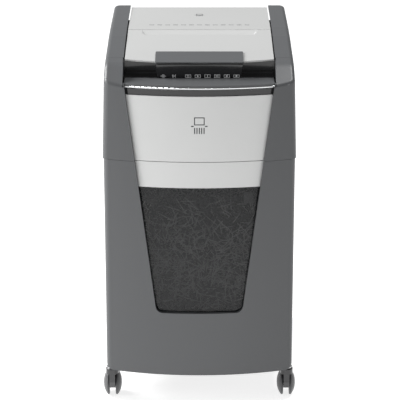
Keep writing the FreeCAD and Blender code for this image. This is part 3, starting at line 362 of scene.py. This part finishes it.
@dataclass(frozen=True)
class CircuitBoard(Finish):
    """Solder mask with copper traces under it."""

    def mix(self) -> bpy.types.Material:
        """Trace pattern from a coarse and a fine grid of cells."""
        recipe = Recipe(self.name)
        cells = recipe.node("ShaderNodeTexVoronoi", {"feature": "DISTANCE_TO_EDGE"},
                            {"Vector": recipe.place((1, 1, 1)), "Scale": 1 / (7 * MM)})
        trace = recipe.ramp(cells, 0.04, 0.09)
        tone = recipe.tint(trace, shade(self.colour, 2.1), self.colour)
        return recipe.set(Base_Color=tone, Roughness=self.roughness, Normal=recipe.relief(trace, 0.03 * MM),
                          Coat_Weight=0.3)


@dataclass(frozen=True)
class Paper(Finish):
    """Office paper: matt and fibrous, with traces of grey print."""

    def mix(self) -> bpy.types.Material:
        """Fibres in the relief, and faint printed greys."""
        recipe = Recipe(self.name)
        fibre = recipe.noise(0.8 * MM, 4)
        printed = recipe.ramp(recipe.noise(6 * MM, 2), 0.55, 0.7)
        tone = recipe.tint(0.35 * printed, self.colour, shade(self.colour, 0.3))
        return recipe.set(Base_Color=tone, Roughness=self.roughness, Normal=recipe.relief(fibre, 0.02 * MM))


@dataclass(frozen=True)
class Ink(Finish):
    """Pad-printed ink, slightly broken at its edges."""

    def mix(self) -> bpy.types.Material:
        """Thin and thick places in the print."""
        recipe = Recipe(self.name)
        body = recipe.noise(0.35 * MM, 2)
        tone = recipe.tint(body, shade(self.colour, 0.88), shade(self.colour, 1.05))
        return recipe.set(Base_Color=tone, Roughness=self.roughness + 0.1 * body)


class Stock(Enum):
    """Every finish used on the machine; the value is how it is made and the record's slot for it."""

    SILVER = (SatinPaint("silver_paint", (0.60, 0.605, 0.60), 0.40), "silver_plastic")
    GREY = (MouldedPlastic("grey_moulding", (0.088, 0.091, 0.095), 0.38), "grey_plastic")
    GLOSS = (GlossPlastic("black_gloss", (0.008, 0.008, 0.009), 0.14), "black_gloss")
    CHROME = (Chrome("chrome_trim", (0.86, 0.87, 0.88), 0.06), "chrome_trim")
    SMOKE = (SmokedGlazing("smoked_window", (0.010, 0.011, 0.012), 0.07, 0.50), "smoked_window")
    BLACK = (MouldedPlastic("black_moulding", (0.022, 0.022, 0.024), 0.5), "black_plastic")
    BIN = (MouldedPlastic("bin_moulding", (0.045, 0.047, 0.05), 0.5), "bin_plastic")
    SHEET = (BrushedMetal("zinc_sheet", (0.52, 0.53, 0.55), 0.38, (1, 0.05, 0.05), 0.8 * MM), "sheet_steel")
    BRIGHT = (BrushedMetal("bright_steel", (0.62, 0.62, 0.63), 0.25), "bright_steel")
    CUTTER = (BrushedMetal("cutter_steel", (0.36, 0.36, 0.37), 0.32, (1, 0.3, 0.3), 0.4 * MM), "cutter_steel")
    GEAR = (BrushedMetal("gear_steel", (0.46, 0.45, 0.43), 0.34, (0.2, 1, 1)), "gear_steel")
    BRONZE = (BrushedMetal("bearing_bronze", (0.58, 0.4, 0.22), 0.4), "bearing_bronze")
    COMB = (MouldedPlastic("comb_moulding", (0.03, 0.03, 0.031), 0.42), "comb_plastic")
    ENAMEL = (PaintedCan("motor_enamel", (0.06, 0.062, 0.066), 0.35), "motor_can")
    RUBBER = (Rubber("roller_rubber", (0.022, 0.022, 0.022), 0.72), "rubber")
    BOARD = (CircuitBoard("solder_mask", (0.012, 0.11, 0.045), 0.4), "circuit_board")
    HOOD = (GlossPlastic("castor_hood", (0.012, 0.012, 0.014), 0.16), "castor_black")
    TYRE = (MouldedPlastic("castor_wheel", (0.07, 0.071, 0.074), 0.36, 0.7 * MM, 0.02 * MM), "castor_wheel")
    PAPER = (Paper("office_paper", (0.62, 0.63, 0.62), 0.85), None)
    # Dark paper for the strips behind the window: its darkness is painted shade on white paper.
    PAPER_IN_PAINTED_SHADE = (Paper("paper_painted_shade", (0.075, 0.077, 0.078), 0.85), None)
    # Near-black paper for the packed core: painted shade of the heap's inside.
    PACKED_PAPER_PAINTED_SHADE = (Paper("packed_paper_painted_shade", (0.03, 0.031, 0.032), 0.9), None)
    LABEL = (Ink("label_face", (0.2, 0.203, 0.206), 0.55), None)
    WHITE_INK = (Ink("white_ink", (0.85, 0.86, 0.87), 0.5), None)
    DARK_INK = (Ink("grey_ink", (0.035, 0.037, 0.04), 0.5), None)

    @property
    def finish(self) -> Finish:
        """How the finish is made."""
        return self.value[0]

    @property
    def slot(self) -> str | None:
        """The record's material slot, if there is one."""
        return self.value[1]


class PaintShop:
    """Mixes each finish once and puts it on pieces."""

    def __init__(self) -> None:
        """Start with nothing mixed."""
        self.mixed: dict[Stock, bpy.types.Material] = {}

    def material(self, stock: Stock) -> bpy.types.Material:
        """The material of a finish, mixed on first use."""
        if stock not in self.mixed:
            self.mixed[stock] = stock.finish.mix()
        return self.mixed[stock]

    def coat(self, piece: bpy.types.Object, stock: Stock) -> bpy.types.Object:
        """Give a piece one finish all over.

        Args:
            piece: the object to coat.
            stock: the finish.

        Returns:
            The same object.
        """
        piece.data.materials.clear()
        piece.data.materials.append(self.material(stock))
        return piece

    def coat_nodes(self, names: Iterable[str], stock: Stock) -> None:
        """Give several pieces of the frame one finish."""
        for name in names:
            self.coat(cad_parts[name], stock)
        LOG.info("%s on %s", stock.name.lower(), ", ".join(names))


SHOP = PaintShop()


# ---- making meshes ----------------------------------------------------------------------------
class Bench:
    """Where new pieces are built and handed over to the body they ride on."""

    @staticmethod
    def finish_piece(mesh: bmesh.types.BMesh, name: str, body: str, stock: Stock, smooth: bool = False,
                     bevel: float = 0.0, clean: bool = True) -> bpy.types.Object:
        """Turn a bmesh into a finished piece on its body.

        Args:
            mesh: the shape, in the machine's own frame; it is freed.
            name: the piece's name.
            body: the body it moves with.
            stock: its finish.
            smooth: smooth shading.
            bevel: width of a small edge bevel, or 0.
            clean: merge doubles and turn faces outwards first.

        Returns:
            The new object.
        """
        if clean:
            bmesh.ops.remove_doubles(mesh, verts=mesh.verts[:], dist=1e-6)
            bmesh.ops.recalc_face_normals(mesh, faces=mesh.faces[:])
        data = bpy.data.meshes.new(name)
        for face in mesh.faces:
            face.smooth = smooth
        mesh.to_mesh(data)
        mesh.free()
        piece = bpy.data.objects.new(name, data)
        bpy.context.scene.collection.objects.link(piece)
        if bevel:
            edge = piece.modifiers.new("edges", "BEVEL")
            edge.width, edge.segments = bevel, 2
            edge.limit_method, edge.angle_limit = "ANGLE", math.radians(35)
            edge.harden_normals = smooth
        SHOP.coat(piece, stock)
        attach(piece, body)
        LOG.info("%s: %d faces on %s", name, len(data.polygons), body)
        return piece


    @staticmethod
    def block(mesh: bmesh.types.BMesh, low_mm: Vector, high_mm: Vector) -> None:
        """Add a box between two corners given in millimetres."""
        size, middle = (high_mm - low_mm) * MM, (high_mm + low_mm) / 2 * MM
        bmesh.ops.create_cube(mesh, size=1.0, matrix=Matrix.Translation(middle) @ Matrix.Diagonal((*size, 1)))

    @staticmethod
    def drum(mesh: bmesh.types.BMesh, middle_mm: Vector, radius: float, depth: float, axis: str,
             steps: int = 32) -> None:
        """Add a closed cylinder.

        Args:
            mesh: the mesh it is added to.
            middle_mm: its middle, in millimetres.
            radius: its radius, in millimetres.
            depth: its length, in millimetres.
            axis: X, Y or Z.
            steps: sides of the cylinder.
        """
        quarter = math.radians(90)
        turn = {"X": Matrix.Rotation(quarter, 4, "Y"), "Y": Matrix.Rotation(quarter, 4, "X"),
                "Z": Matrix.Identity(4)}[axis]
        bmesh.ops.create_cone(mesh, cap_ends=True, segments=steps, radius1=radius * MM, radius2=radius * MM,
                              depth=depth * MM, matrix=Matrix.Translation(middle_mm * MM) @ turn)


class Symbol:
    """Small flat prints built from discs, rings, bars and frames, in millimetres in their own plane."""

    def __init__(self) -> None:
        """Start with an empty print."""
        self.mesh = bmesh.new()

    def disc(self, x: float, y: float, radius: float, steps: int = 24) -> "Symbol":
        """Add a filled disc."""
        bmesh.ops.create_circle(self.mesh, cap_ends=True, segments=steps, radius=radius,
                                matrix=Matrix.Translation((x, y, 0)))
        return self

    def bar(self, x: float, y: float, width: float, height: float, turn: float = 0.0) -> "Symbol":
        """Add a filled bar, turned by an angle in degrees."""
        made = bmesh.ops.create_grid(self.mesh, x_segments=1, y_segments=1, size=0.5)["verts"]
        bmesh.ops.scale(self.mesh, vec=(width, height, 1), verts=made)
        bmesh.ops.rotate(self.mesh, matrix=Matrix.Rotation(math.radians(turn), 3, "Z"), verts=made)
        bmesh.ops.translate(self.mesh, vec=(x, y, 0), verts=made)
        return self

    def triangle(self, x: float, y: float, radius: float, turn: float = 0.0) -> "Symbol":
        """Add a filled triangle that points along +X before it is turned."""
        spin = Matrix.Translation((x, y, 0)) @ Matrix.Rotation(math.radians(turn), 4, "Z")
        bmesh.ops.create_circle(self.mesh, cap_ends=True, segments=3, radius=radius,
                                matrix=spin @ Matrix.Rotation(math.radians(-90), 4, "Z"))
        return self

    def ring(self, x: float, y: float, radius: float, line: float, start: float = 0, turn: float = 360,
             steps: int = 28) -> "Symbol":
        """Add a ring or an arc of a ring; angles are in degrees."""
        inner, outer = radius - line / 2, radius + line / 2
        edge = [self.mesh.verts.new((inner, 0, 0)), self.mesh.verts.new((outer, 0, 0))]
        self.mesh.edges.new(edge)
        bmesh.ops.rotate(self.mesh, matrix=Matrix.Rotation(math.radians(start), 3, "Z"), verts=edge)
        whole = turn >= 360
        bmesh.ops.spin(self.mesh, geom=edge + [edge[0].link_edges[0]], cent=(0, 0, 0), axis=(0, 0, 1),
                       angle=math.radians(turn), steps=steps, use_merge=whole)
        verts = {v for e in self.mesh.edges if e.is_valid for v in e.verts
                 if abs(v.co.xy.length - inner) < 1e-4 or abs(v.co.xy.length - outer) < 1e-4}
        fresh = [v for v in verts if not v.tag]
        bmesh.ops.translate(self.mesh, vec=(x, y, 0), verts=fresh)
        for v in self.mesh.verts:
            v.tag = True
        return self

    def box_frame(self, x: float, y: float, width: float, height: float, line: float) -> "Symbol":
        """Add a rectangular outline."""
        for side in (-1, 1):
            self.bar(x + side * (width - line) / 2, y, line, height)
            self.bar(x, y + side * (height - line) / 2, width - 2 * line, line)
        return self

    def key(self) -> "Symbol":
        """Add the outline of one touch area."""
        return self.box_frame(0, 0, 11.5, 6.4, 0.8)

    def laid(self, target: bmesh.types.BMesh, place: Matrix) -> None:
        """Scale the print to metres, lay it in the machine's frame and add it to a mesh.

        Args:
            target: the mesh that collects prints.
            place: where the print's plane lies; its +Z is the print's front.
        """
        bmesh.ops.transform(self.mesh, matrix=place @ Matrix.Scale(MM, 4), verts=self.mesh.verts[:])
        data = bpy.data.meshes.new("print")
        self.mesh.to_mesh(data)
        self.mesh.free()
        target.from_mesh(data)
        bpy.data.meshes.remove(data)


def shredded_sheet() -> Symbol:
    """A sheet above a bar, with strips hanging below it."""
    mark = Symbol().box_frame(0, 5, 9, 7, 0.8).bar(0, 0.6, 14, 1.0)
    for step in range(-2, 3):
        mark.bar(step * 2.0, -3.4, 0.9, 5.4)
    return mark


# ---- waste drawer -----------------------------------------------------------------------------
@dataclass
class WasteDrawer:
    """Pull-out bin with its front, window and the shredded paper in it."""

    strip_width: float = 1.9 * MM
    strip_length: float = 34 * MM
    strips_in_view: int = 3600
    fresh_strips: int = 1000
    strips_on_heap: int = 1300
    heap_top: float = 438 * MM
    paper_thickness: float = 0.12 * MM
    seed: int = 11

    def dress(self) -> None:
        """Finish the drawer's own pieces."""
        SHOP.coat_nodes(["drawer_front"], Stock.GREY)
        SHOP.coat_nodes(["drawer_band"], Stock.SILVER)
        SHOP.coat_nodes(["bin_window"], Stock.SMOKE)
        SHOP.coat_nodes(["waste_bin"], Stock.BIN)
        SHOP.coat_nodes(["drawer_runners"], Stock.SHEET)

    def strip(self, mesh: bmesh.types.BMesh, draw: random.Random, place: Vector, lie: Matrix) -> None:
        """Add one curled strip of paper.

        Args:
            mesh: the mesh that collects strips.
            draw: random source.
            place: the strip's middle.
            lie: how the strip is turned before its own small tilt.
        """
        verts = bmesh.ops.create_grid(mesh, x_segments=4, y_segments=1, size=0.5)["verts"]
        length = self.strip_length * draw.uniform(0.55, 1.15)
        curl = draw.uniform(-5.5, 5.5) * MM
        twist = draw.uniform(-0.9, 0.9)
        for vert in verts:
            along, across = vert.co.x * 2, vert.co.y * 2
            lift = curl * (1 - along * along)
            tilt = twist * along
            half = self.strip_width / 2 * across
            vert.co = Vector((along * length / 2, half * math.cos(tilt), lift + half * math.sin(tilt)))
        turn = Matrix.Rotation(draw.uniform(0, math.tau), 4, "Z")
        lean = Matrix.Rotation(draw.gauss(0, 0.35), 4, "X") @ Matrix.Rotation(draw.gauss(0, 0.22), 4, "Y")
        bmesh.ops.transform(mesh, matrix=Matrix.Translation(place) @ lie @ lean @ turn, verts=verts)

    def fill(self) -> None:
        """Fill the bin: strips pressed against the window, and a loose heap on top."""
        low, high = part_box("waste_bin")
        edge = 24 * MM
        draw = random.Random(self.seed)
        upright = Matrix.Rotation(math.radians(90), 4, "X")
        left, right = low.x + edge, high.x - edge
        front = bmesh.new()
        for _ in range(self.strips_in_view):
            height = draw.uniform(low.z + 0.02, self.heap_top)
            depth = low.y + draw.uniform(15, 42) * MM
            self.strip(front, draw, Vector((draw.uniform(left, right), depth, height)), upright)
        # The strips at the window get the dark paper, which is painted shade.
        self.hand_over(front, "shreds_at_window", low, high, Stock.PAPER_IN_PAINTED_SHADE)
        fresh = bmesh.new()
        for _ in range(self.fresh_strips):
            height = draw.triangular(low.z + 0.09, self.heap_top + 0.012, low.z + 0.19)
            depth = low.y + draw.uniform(6, 24) * MM
            self.strip(fresh, draw, Vector((draw.uniform(left, right), depth, height)), upright)
        self.hand_over(fresh, "fresh_shreds", low, high, Stock.PAPER)
        heap = bmesh.new()
        for _ in range(self.strips_on_heap):
            x, y = draw.uniform(left, right), draw.uniform(low.y + edge, high.y - edge)
            crown = self.heap_top - 55 * MM * ((x / right) ** 2 * 0.5 + (y / high.y) ** 2 * 0.5)
            self.strip(heap, draw, Vector((x, y, crown + draw.uniform(-16, 6) * MM)), Matrix.Identity(4))
        self.hand_over(heap, "shreds_on_heap", low, high, Stock.PAPER)
        self.core(low, high)

    def hand_over(self, mesh: bmesh.types.BMesh, name: str, low: Vector, high: Vector, stock: Stock) -> None:
        """Keep every strip inside the tub and give the paper its thickness.

        Args:
            mesh: the collected strips.
            name: the piece's name.
            low: the tub's lowest corner.
            high: the tub's highest corner.
            stock: the kind of paper.
        """
        wall = 4 * MM
        for vert in mesh.verts:
            vert.co.x = min(max(vert.co.x, low.x + wall), high.x - wall)
            vert.co.y = min(max(vert.co.y, low.y + wall), high.y - wall)
            vert.co.z = min(max(vert.co.z, low.z + wall), high.z - wall)
        piece = Bench.finish_piece(mesh, name, "drawer", stock, smooth=True, clean=False)
        sheet = piece.modifiers.new("paper", "SOLIDIFY")
        sheet.thickness, sheet.offset = self.paper_thickness, 0.0

    def level_label(self) -> None:
        """Stick a small blank label behind the window's upper right corner."""
        mesh = bmesh.new()
        Bench.block(mesh, Vector((88, -232.2, 438)), Vector((107, -231.9, 461)))
        Bench.finish_piece(mesh, "window_label", "drawer", Stock.LABEL)

    def core(self, low: Vector, high: Vector) -> None:
        """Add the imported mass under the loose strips, so that the heap isn't hollow."""
        mesh = bmesh.new()
        size = Vector((high.x - low.x - 40 * MM, high.y - low.y - 80 * MM, self.heap_top - 60 * MM - low.z))
        middle = Vector((0, (low.y + high.y) / 2 + 22 * MM, low.z + 6 * MM + size.z / 2))
        bmesh.ops.create_cube(mesh, size=1.0, matrix=Matrix.Translation(middle) @ Matrix.Diagonal((*size, 1)))
        bmesh.ops.subdivide_edges(mesh, edges=mesh.edges[:], cuts=15, use_grid_fill=True)
        draw = random.Random(self.seed + 1)
        for vert in mesh.verts:
            vert.co += Vector((draw.gauss(0, 1), draw.gauss(0, 1), draw.gauss(0, 1))) * 2.2 * MM
        # The core's near-black paper is painted shade.
        Bench.finish_piece(mesh, "packed_shreds", "drawer", Stock.PACKED_PAPER_PAINTED_SHADE)


# ---- cabinet ----------------------------------------------------------------------------------
@dataclass
class Cabinet:
    """Fixed shells, fascia and the control pod."""

    pod_symbols: Sequence[float] = (-71, -50, -22, -3, 16, 35, 54, 73)
    symbol_height: float = 686.9
    pod_top: Sequence[float] = (0, -188.6, 710.4)
    pod_foot: Sequence[float] = (0, -186.5, 683.2)
    proud: float = 0.12
    emblem_height: float = 600.0
    emblem_scale: float = 2.3
    front_radius: float = 600.0

    def dress(self) -> None:
        """Finish the fixed shells."""
        SHOP.coat_nodes(["side_panel_left", "side_panel_right", "upper_housing", "front_ledge", "rear_cover"],
                        Stock.GREY)
        SHOP.coat_nodes(["front_fascia"], Stock.SILVER)
        SHOP.coat_nodes(["fascia_groove", "pod_recess", "control_pod"], Stock.GLOSS)
        SHOP.coat_nodes(["chrome_strip"], Stock.CHROME)
        SHOP.coat_nodes(["base_tray", "paper_tray", "feed_throat", "switch_frame", "power_inlet",
                         "power_rocker"], Stock.BLACK)
        SHOP.coat_nodes(["chassis_deck", "drawer_rails", "lid_hinge_brackets"], Stock.SHEET)
        SHOP.coat_nodes(["cover_screws", "castor_pins", "lid_hinge_pins"], Stock.BRIGHT)

    def print_pod(self) -> None:
        """Print the row of control symbols low on the pod's face."""
        glyphs: list[Callable[[Symbol], Symbol]] = [
            lambda s: s.ring(0, 0, 2.8, 0.8).disc(0, 0, 1.2).bar(-4.6, 0, 1.8, 0.9).bar(4.6, 0, 1.8, 0.9),
            lambda s: (s.bar(-3, 0, 1, 6).bar(-1, 0, 1, 6)
                       .bar(2.4, 1.4, 1, 4.6, -42).bar(2.4, -1.4, 1, 4.6, 42)),
            lambda s: s.key().ring(0, 0, 1.9, 0.8, 120, 300, 18).bar(0, 1.6, 0.8, 2.4),
            lambda s: s.key().triangle(-0.2, 0, 2.6),
            lambda s: s.key().bar(0, 0, 1.3, 4.4),
            lambda s: s.key().bar(-2, 0, 1.2, 3.8).bar(0, 0, 1.2, 3.8).bar(2, 0, 1.2, 3.8),
            lambda s: s.key().bar(0, 0, 3.4, 3.4),
            lambda s: s.key().disc(0, 0, 1.9),
        ]
        prints = bmesh.new()
        top, foot = Vector(self.pod_top), Vector(self.pod_foot)
        rise = (self.symbol_height - foot.z) / (top.z - foot.z)
        face_y = foot.y + rise * (top.y - foot.y) - self.proud
        lean = math.atan2(foot.y - top.y, top.z - foot.z)
        for x, glyph in zip(self.pod_symbols, glyphs):
            place = Matrix.Translation(Vector((x, face_y, self.symbol_height)) * MM)
            glyph(Symbol()).laid(prints, place @ Matrix.Rotation(math.radians(90) + lean, 4, "X"))
        self.raise_print(prints, "pod_symbols", "cabinet", Stock.WHITE_INK)

    def print_fascia(self) -> None:
        """Print a plain sheet-and-strips symbol in the middle of the fascia, following its bow."""
        prints = bmesh.new()
        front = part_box("front_fascia")[0].y
        upright = Matrix.Rotation(math.radians(90), 4, "X")
        place = Matrix.Translation((0, front, self.emblem_height * MM)) @ upright
        shredded_sheet().laid(prints, place @ Matrix.Scale(self.emblem_scale, 4))
        radius = self.front_radius * MM
        for vert in prints.verts:
            vert.co.y += radius - math.sqrt(radius ** 2 - vert.co.x ** 2) - 0.04 * MM
        self.raise_print(prints, "fascia_symbol", "cabinet", Stock.DARK_INK)

    @staticmethod
    def raise_print(prints: bmesh.types.BMesh, name: str, body: str, stock: Stock) -> None:
        """Give a print the thickness of a coat of ink and hand it over."""
        piece = Bench.finish_piece(prints, name, body, stock, clean=False)
        layer = piece.modifiers.new("ink", "SOLIDIFY")
        layer.thickness, layer.offset = 0.12 * MM, 0.0


# ---- lid --------------------------------------------------------------------------------------
@dataclass
class Lid:
    """Silver top between its grey rails."""

    sheet_marks: int = 13
    mark_pitch: float = 16.6
    ridge: float = 21.0
    ridge_height: float = 732.5
    back: float = 248.0
    back_height: float = 731.0
    plate_travel: float = 8.0 * MM

    def dress(self) -> None:
        """Finish the lid's pieces."""
        SHOP.coat_nodes(["lid_panel"], Stock.SILVER)
        SHOP.coat_nodes(["lid_rail_left", "lid_rail_right", "lid_handle"], Stock.GREY)
        SHOP.coat_nodes(["lid_liner", "slot_guide"], Stock.BLACK)
        SHOP.coat_nodes(["pressure_springs"], Stock.BRIGHT)
        SHOP.coat_nodes(["pressure_plate"], Stock.SHEET)

    def compress_springs(self) -> None:
        """Give the springs a mesh of their own; they are not shortened here."""
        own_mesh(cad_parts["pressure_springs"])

    def print_top(self) -> None:
        """Print a plain symbol near the back of the lid and a row of sheet marks behind the slot."""
        prints = bmesh.new()
        shredded_sheet().laid(prints, self.on_top(0, 159) @ Matrix.Scale(1.5, 4))
        for step in range(self.sheet_marks):
            x = (step - (self.sheet_marks - 1) / 2) * self.mark_pitch
            mark = Symbol().box_frame(0, 0, 9, 6.5, 0.7)
            if step % 2:
                mark.bar(0, 0, 4.5, 0.8)
            mark.laid(prints, self.on_top(x, 64))
        Cabinet.raise_print(prints, "lid_symbols", "lid", Stock.DARK_INK)

    def on_top(self, x: float, y: float) -> Matrix:
        """Where a print lies on the rear of the lid, for a place in millimetres."""
        fall = (self.ridge_height - self.back_height) / (self.back - self.ridge)
        height = self.ridge_height - fall * (y - self.ridge) + 0.03
        lean = Matrix.Rotation(-math.atan(fall), 4, "X")
        return Matrix.Translation(Vector((x, y, height)) * MM) @ lean


# ---- cutting head -----------------------------------------------------------------------------
@dataclass
class CuttingHead:
    """Frame plates, cutters, rollers, gears and motor."""

    discs: int = 19
    pitch: float = 12.0
    disc_radius: float = 24.5
    teeth_per_disc: int = 9
    roller_z: float = 652.0
    board_face_y: float = -212.4

    def dress(self) -> None:
        """Finish the mechanism."""
        SHOP.coat_nodes(["frame_plate_left", "frame_plate_right"], Stock.SHEET)
        SHOP.coat_nodes(["tie_rods"], Stock.BRIGHT)
        SHOP.coat_nodes(["cutter_bearings"], Stock.BRONZE)
        SHOP.coat_nodes(["cutter_combs"], Stock.COMB)
        SHOP.coat_nodes(["cutter_front", "cutter_rear"], Stock.CUTTER)
        SHOP.coat_nodes(["sync_gear_front", "sync_gear_rear", "drive_gear", "idler_gear", "motor_pinion"],
                        Stock.GEAR)
        SHOP.coat_nodes(["feed_roller_front", "feed_roller_rear", "feed_belt"], Stock.RUBBER)
        SHOP.coat_nodes(["drive_motor"], Stock.ENAMEL)
        SHOP.coat_nodes(["control_board"], Stock.BOARD)

    def teeth(self) -> None:
        """Set a ring of small cutting teeth on every disc of both cutters."""
        for node, side in (("cutter_front", 0.0), ("cutter_rear", 1.0)):
            low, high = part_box(node)
            axis_y, axis_z = (low.y + high.y) / 2 / MM, (low.z + high.z) / 2 / MM
            first = -(self.discs - 1) * self.pitch / 2 - self.pitch / 4 + side * self.pitch / 2
            mesh = bmesh.new()
            for disc in range(self.discs):
                middle = Matrix.Translation(Vector((first + disc * self.pitch, axis_y, axis_z)) * MM)
                for tooth in range(self.teeth_per_disc):
                    turn = Matrix.Rotation(math.tau * (tooth + disc / 3) / self.teeth_per_disc, 4, "X")
                    lift = Matrix.Translation((0, 0, (self.disc_radius + 0.6) * MM))
                    square = Matrix.Rotation(math.radians(45), 4, "Z")
                    bmesh.ops.create_cone(mesh, cap_ends=True, segments=4, radius1=2.6 * MM, radius2=0.5 * MM,
                                          depth=1.9 * MM, matrix=middle @ turn @ lift @ square)
            Bench.finish_piece(mesh, f"{node}_teeth", node, Stock.CUTTER, clean=False)

    def roller_ribs(self) -> None:
        """Add raised ribs round each rubber sleeve."""
        for node in ("feed_roller_front", "feed_roller_rear"):
            low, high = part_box(node)
            y, z = (low.y + high.y) / 2 / MM, self.roller_z
            mesh = bmesh.new()
            for start in (-82, -22, 38):
                for rib in range(6):
                    Bench.drum(mesh, Vector((start + 4.5 + rib * 7, y, z)), 14.35, 2.4, "X", 48)
            Bench.finish_piece(mesh, f"{node}_ribs", node, Stock.RUBBER, bevel=0.3 * MM)

    def board_parts(self) -> None:
        """Stand capacitors and chips on the circuit board."""
        face = self.board_face_y
        draw = random.Random(5)
        cans, chips = bmesh.new(), bmesh.new()
        for x, z in ((-62, 628), (-20, 622), (-6, 622), (8, 622), (40, 578), (100, 625)):
            depth = draw.uniform(7, 12)
            Bench.drum(cans, Vector((x, face + depth / 2, z)), 3.6, depth, "Y", 24)
        for x, z in ((-88, 612), (-70, 612), (40, 628), (58, 628), (-30, 566), (-14, 566), (64, 566)):
            Bench.block(chips, Vector((x - 6, face, z - 3)), Vector((x + 6, face + 2.2, z + 3)))
        Bench.finish_piece(cans, "board_capacitors", "cabinet", Stock.BRIGHT, bevel=0.3 * MM)
        Bench.finish_piece(chips, "board_chips", "cabinet", Stock.BLACK, bevel=0.2 * MM)

    def motor_bands(self) -> None:
        """Add two pressed bands round the motor can."""
        low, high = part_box("drive_motor")
        y, z = (low.y + high.y) / 2 / MM, (low.z + high.z) / 2 / MM
        mesh = bmesh.new()
        for x in (24, 98):
            Bench.drum(mesh, Vector((x, y, z)), 38.5, 5, "X", 72)
        Bench.finish_piece(mesh, "motor_bands", "cabinet", Stock.BRIGHT, smooth=False, bevel=0.4 * MM)


# ---- castors ----------------------------------------------------------------------------------
@dataclass
class Castors:
    """Four twin-wheel castors."""

    corners: Sequence[str] = ("front_left", "front_right", "rear_left", "rear_right")
    cap_offset: float = 18.6
    cap_radius: float = 3.8

    def dress(self) -> None:
        """Finish hoods and wheels."""
        SHOP.coat_nodes([f"castor_fork_{corner}" for corner in self.corners], Stock.HOOD)
        SHOP.coat_nodes([f"castor_wheels_{corner}" for corner in self.corners], Stock.TYRE)

    def axle_caps(self) -> None:
        """Put a bright cap on each end of every wheel's axle."""
        for corner in self.corners:
            low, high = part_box(f"castor_wheels_{corner}")
            x, y, z = (low.x + high.x) / 2 / MM, (low.y + high.y) / 2 / MM, (low.z + high.z) / 2 / MM
            mesh = bmesh.new()
            for side in (-1, 1):
                Bench.drum(mesh, Vector((x + side * self.cap_offset, y, z)), self.cap_radius, 0.5, "X", 36)
            Bench.finish_piece(mesh, f"castor_caps_{corner}", f"wheels_{corner}", Stock.BRIGHT,
                               bevel=0.15 * MM)


# ---- studio -----------------------------------------------------------------------------------
@dataclass
class Studio:
    """Pale floor, soft lamps and the camera."""

    camera_place: Vector = field(default_factory=lambda: Vector((1.3, -3626.0, 1580.6)) * MM)
    camera_dip: float = 18.5
    focal_mm: float = 162.15
    sensor_mm: float = 36.0

    def build(self) -> None:
        """Set up everything round the machine."""
        bpy.context.scene.view_settings.view_transform = "Standard"
        self.camera()
        self.floor()
        self.sky()
        self.lamp("key", (-3.4, -1.6, 1.6), 1.6, 2.2, 66)
        self.lamp("left_panel", (-2.6, 0.9, 2.6), 1.8, 2.2, 185)
        self.lamp("ceiling", (0.9, 0.1, 3.0), 0.9, 0.9, 36)

    def camera(self) -> None:
        """Put the camera in front, looking down a little."""
        data = bpy.data.cameras.new("camera")
        data.lens, data.sensor_width = self.focal_mm, self.sensor_mm
        data.clip_end = 50
        camera = bpy.data.objects.new("camera", data)
        camera.location = self.camera_place
        camera.rotation_euler = (math.radians(90 - self.camera_dip), 0, 0)
        bpy.context.scene.collection.objects.link(camera)
        bpy.context.scene.camera = camera

    def floor(self) -> None:
        """Lay a wide pale floor."""
        mesh = bmesh.new()
        bmesh.ops.create_grid(mesh, x_segments=1, y_segments=1, size=12.0)
        data = bpy.data.meshes.new("floor")
        mesh.to_mesh(data)
        mesh.free()
        floor = bpy.data.objects.new("floor", data)
        bpy.context.scene.collection.objects.link(floor)
        paint = Recipe("floor_paint").set(Base_Color=(0.55, 0.55, 0.55), Roughness=0.9,
                                         Specular_IOR_Level=0.1,
                                         Emission_Color=(1.0, 1.0, 1.0), Emission_Strength=0.80)
        data.materials.append(paint)

    def sky(self) -> None:
        """Even white surroundings."""
        world = bpy.data.worlds.new("studio")
        world.use_nodes = True
        back = world.node_tree.nodes["Background"]
        back.inputs["Color"].default_value = (1, 1, 1, 1)
        back.inputs["Strength"].default_value = 0.22
        bpy.context.scene.world = world

    def lamp(self, name: str, place: Sequence[float], width: float, height: float, power: float) -> None:
        """Add a soft rectangular lamp that faces the machine.

        Args:
            name: the lamp's name.
            place: where it stands.
            width: its width.
            height: its height.
            power: its power in watts.
        """
        data = bpy.data.lights.new(name, "AREA")
        data.shape, data.size, data.size_y, data.energy = "RECTANGLE", width, height, power
        lamp = bpy.data.objects.new(name, data)
        lamp.location = place
        aim = Vector((0, 0, 0.4)) - Vector(place)
        lamp.rotation_euler = aim.to_track_quat("-Z", "Y").to_euler()
        bpy.context.scene.collection.objects.link(lamp)


def main() -> None:
    """Build the scene in order."""
    logging.basicConfig(level=logging.INFO, format="%(message)s")
    studio = Studio()
    studio.build()
    cabinet = Cabinet()
    cabinet.dress()
    cabinet.print_pod()
    cabinet.print_fascia()
    lid = Lid()
    lid.dress()
    lid.print_top()
    lid.compress_springs()
    head = CuttingHead()
    head.dress()
    head.teeth()
    head.roller_ribs()
    head.board_parts()
    head.motor_bands()
    castors = Castors()
    castors.dress()
    castors.axle_caps()
    drawer = WasteDrawer()
    drawer.dress()
    drawer.fill()
    drawer.level_label()


if __name__ == "__main__":
    main()
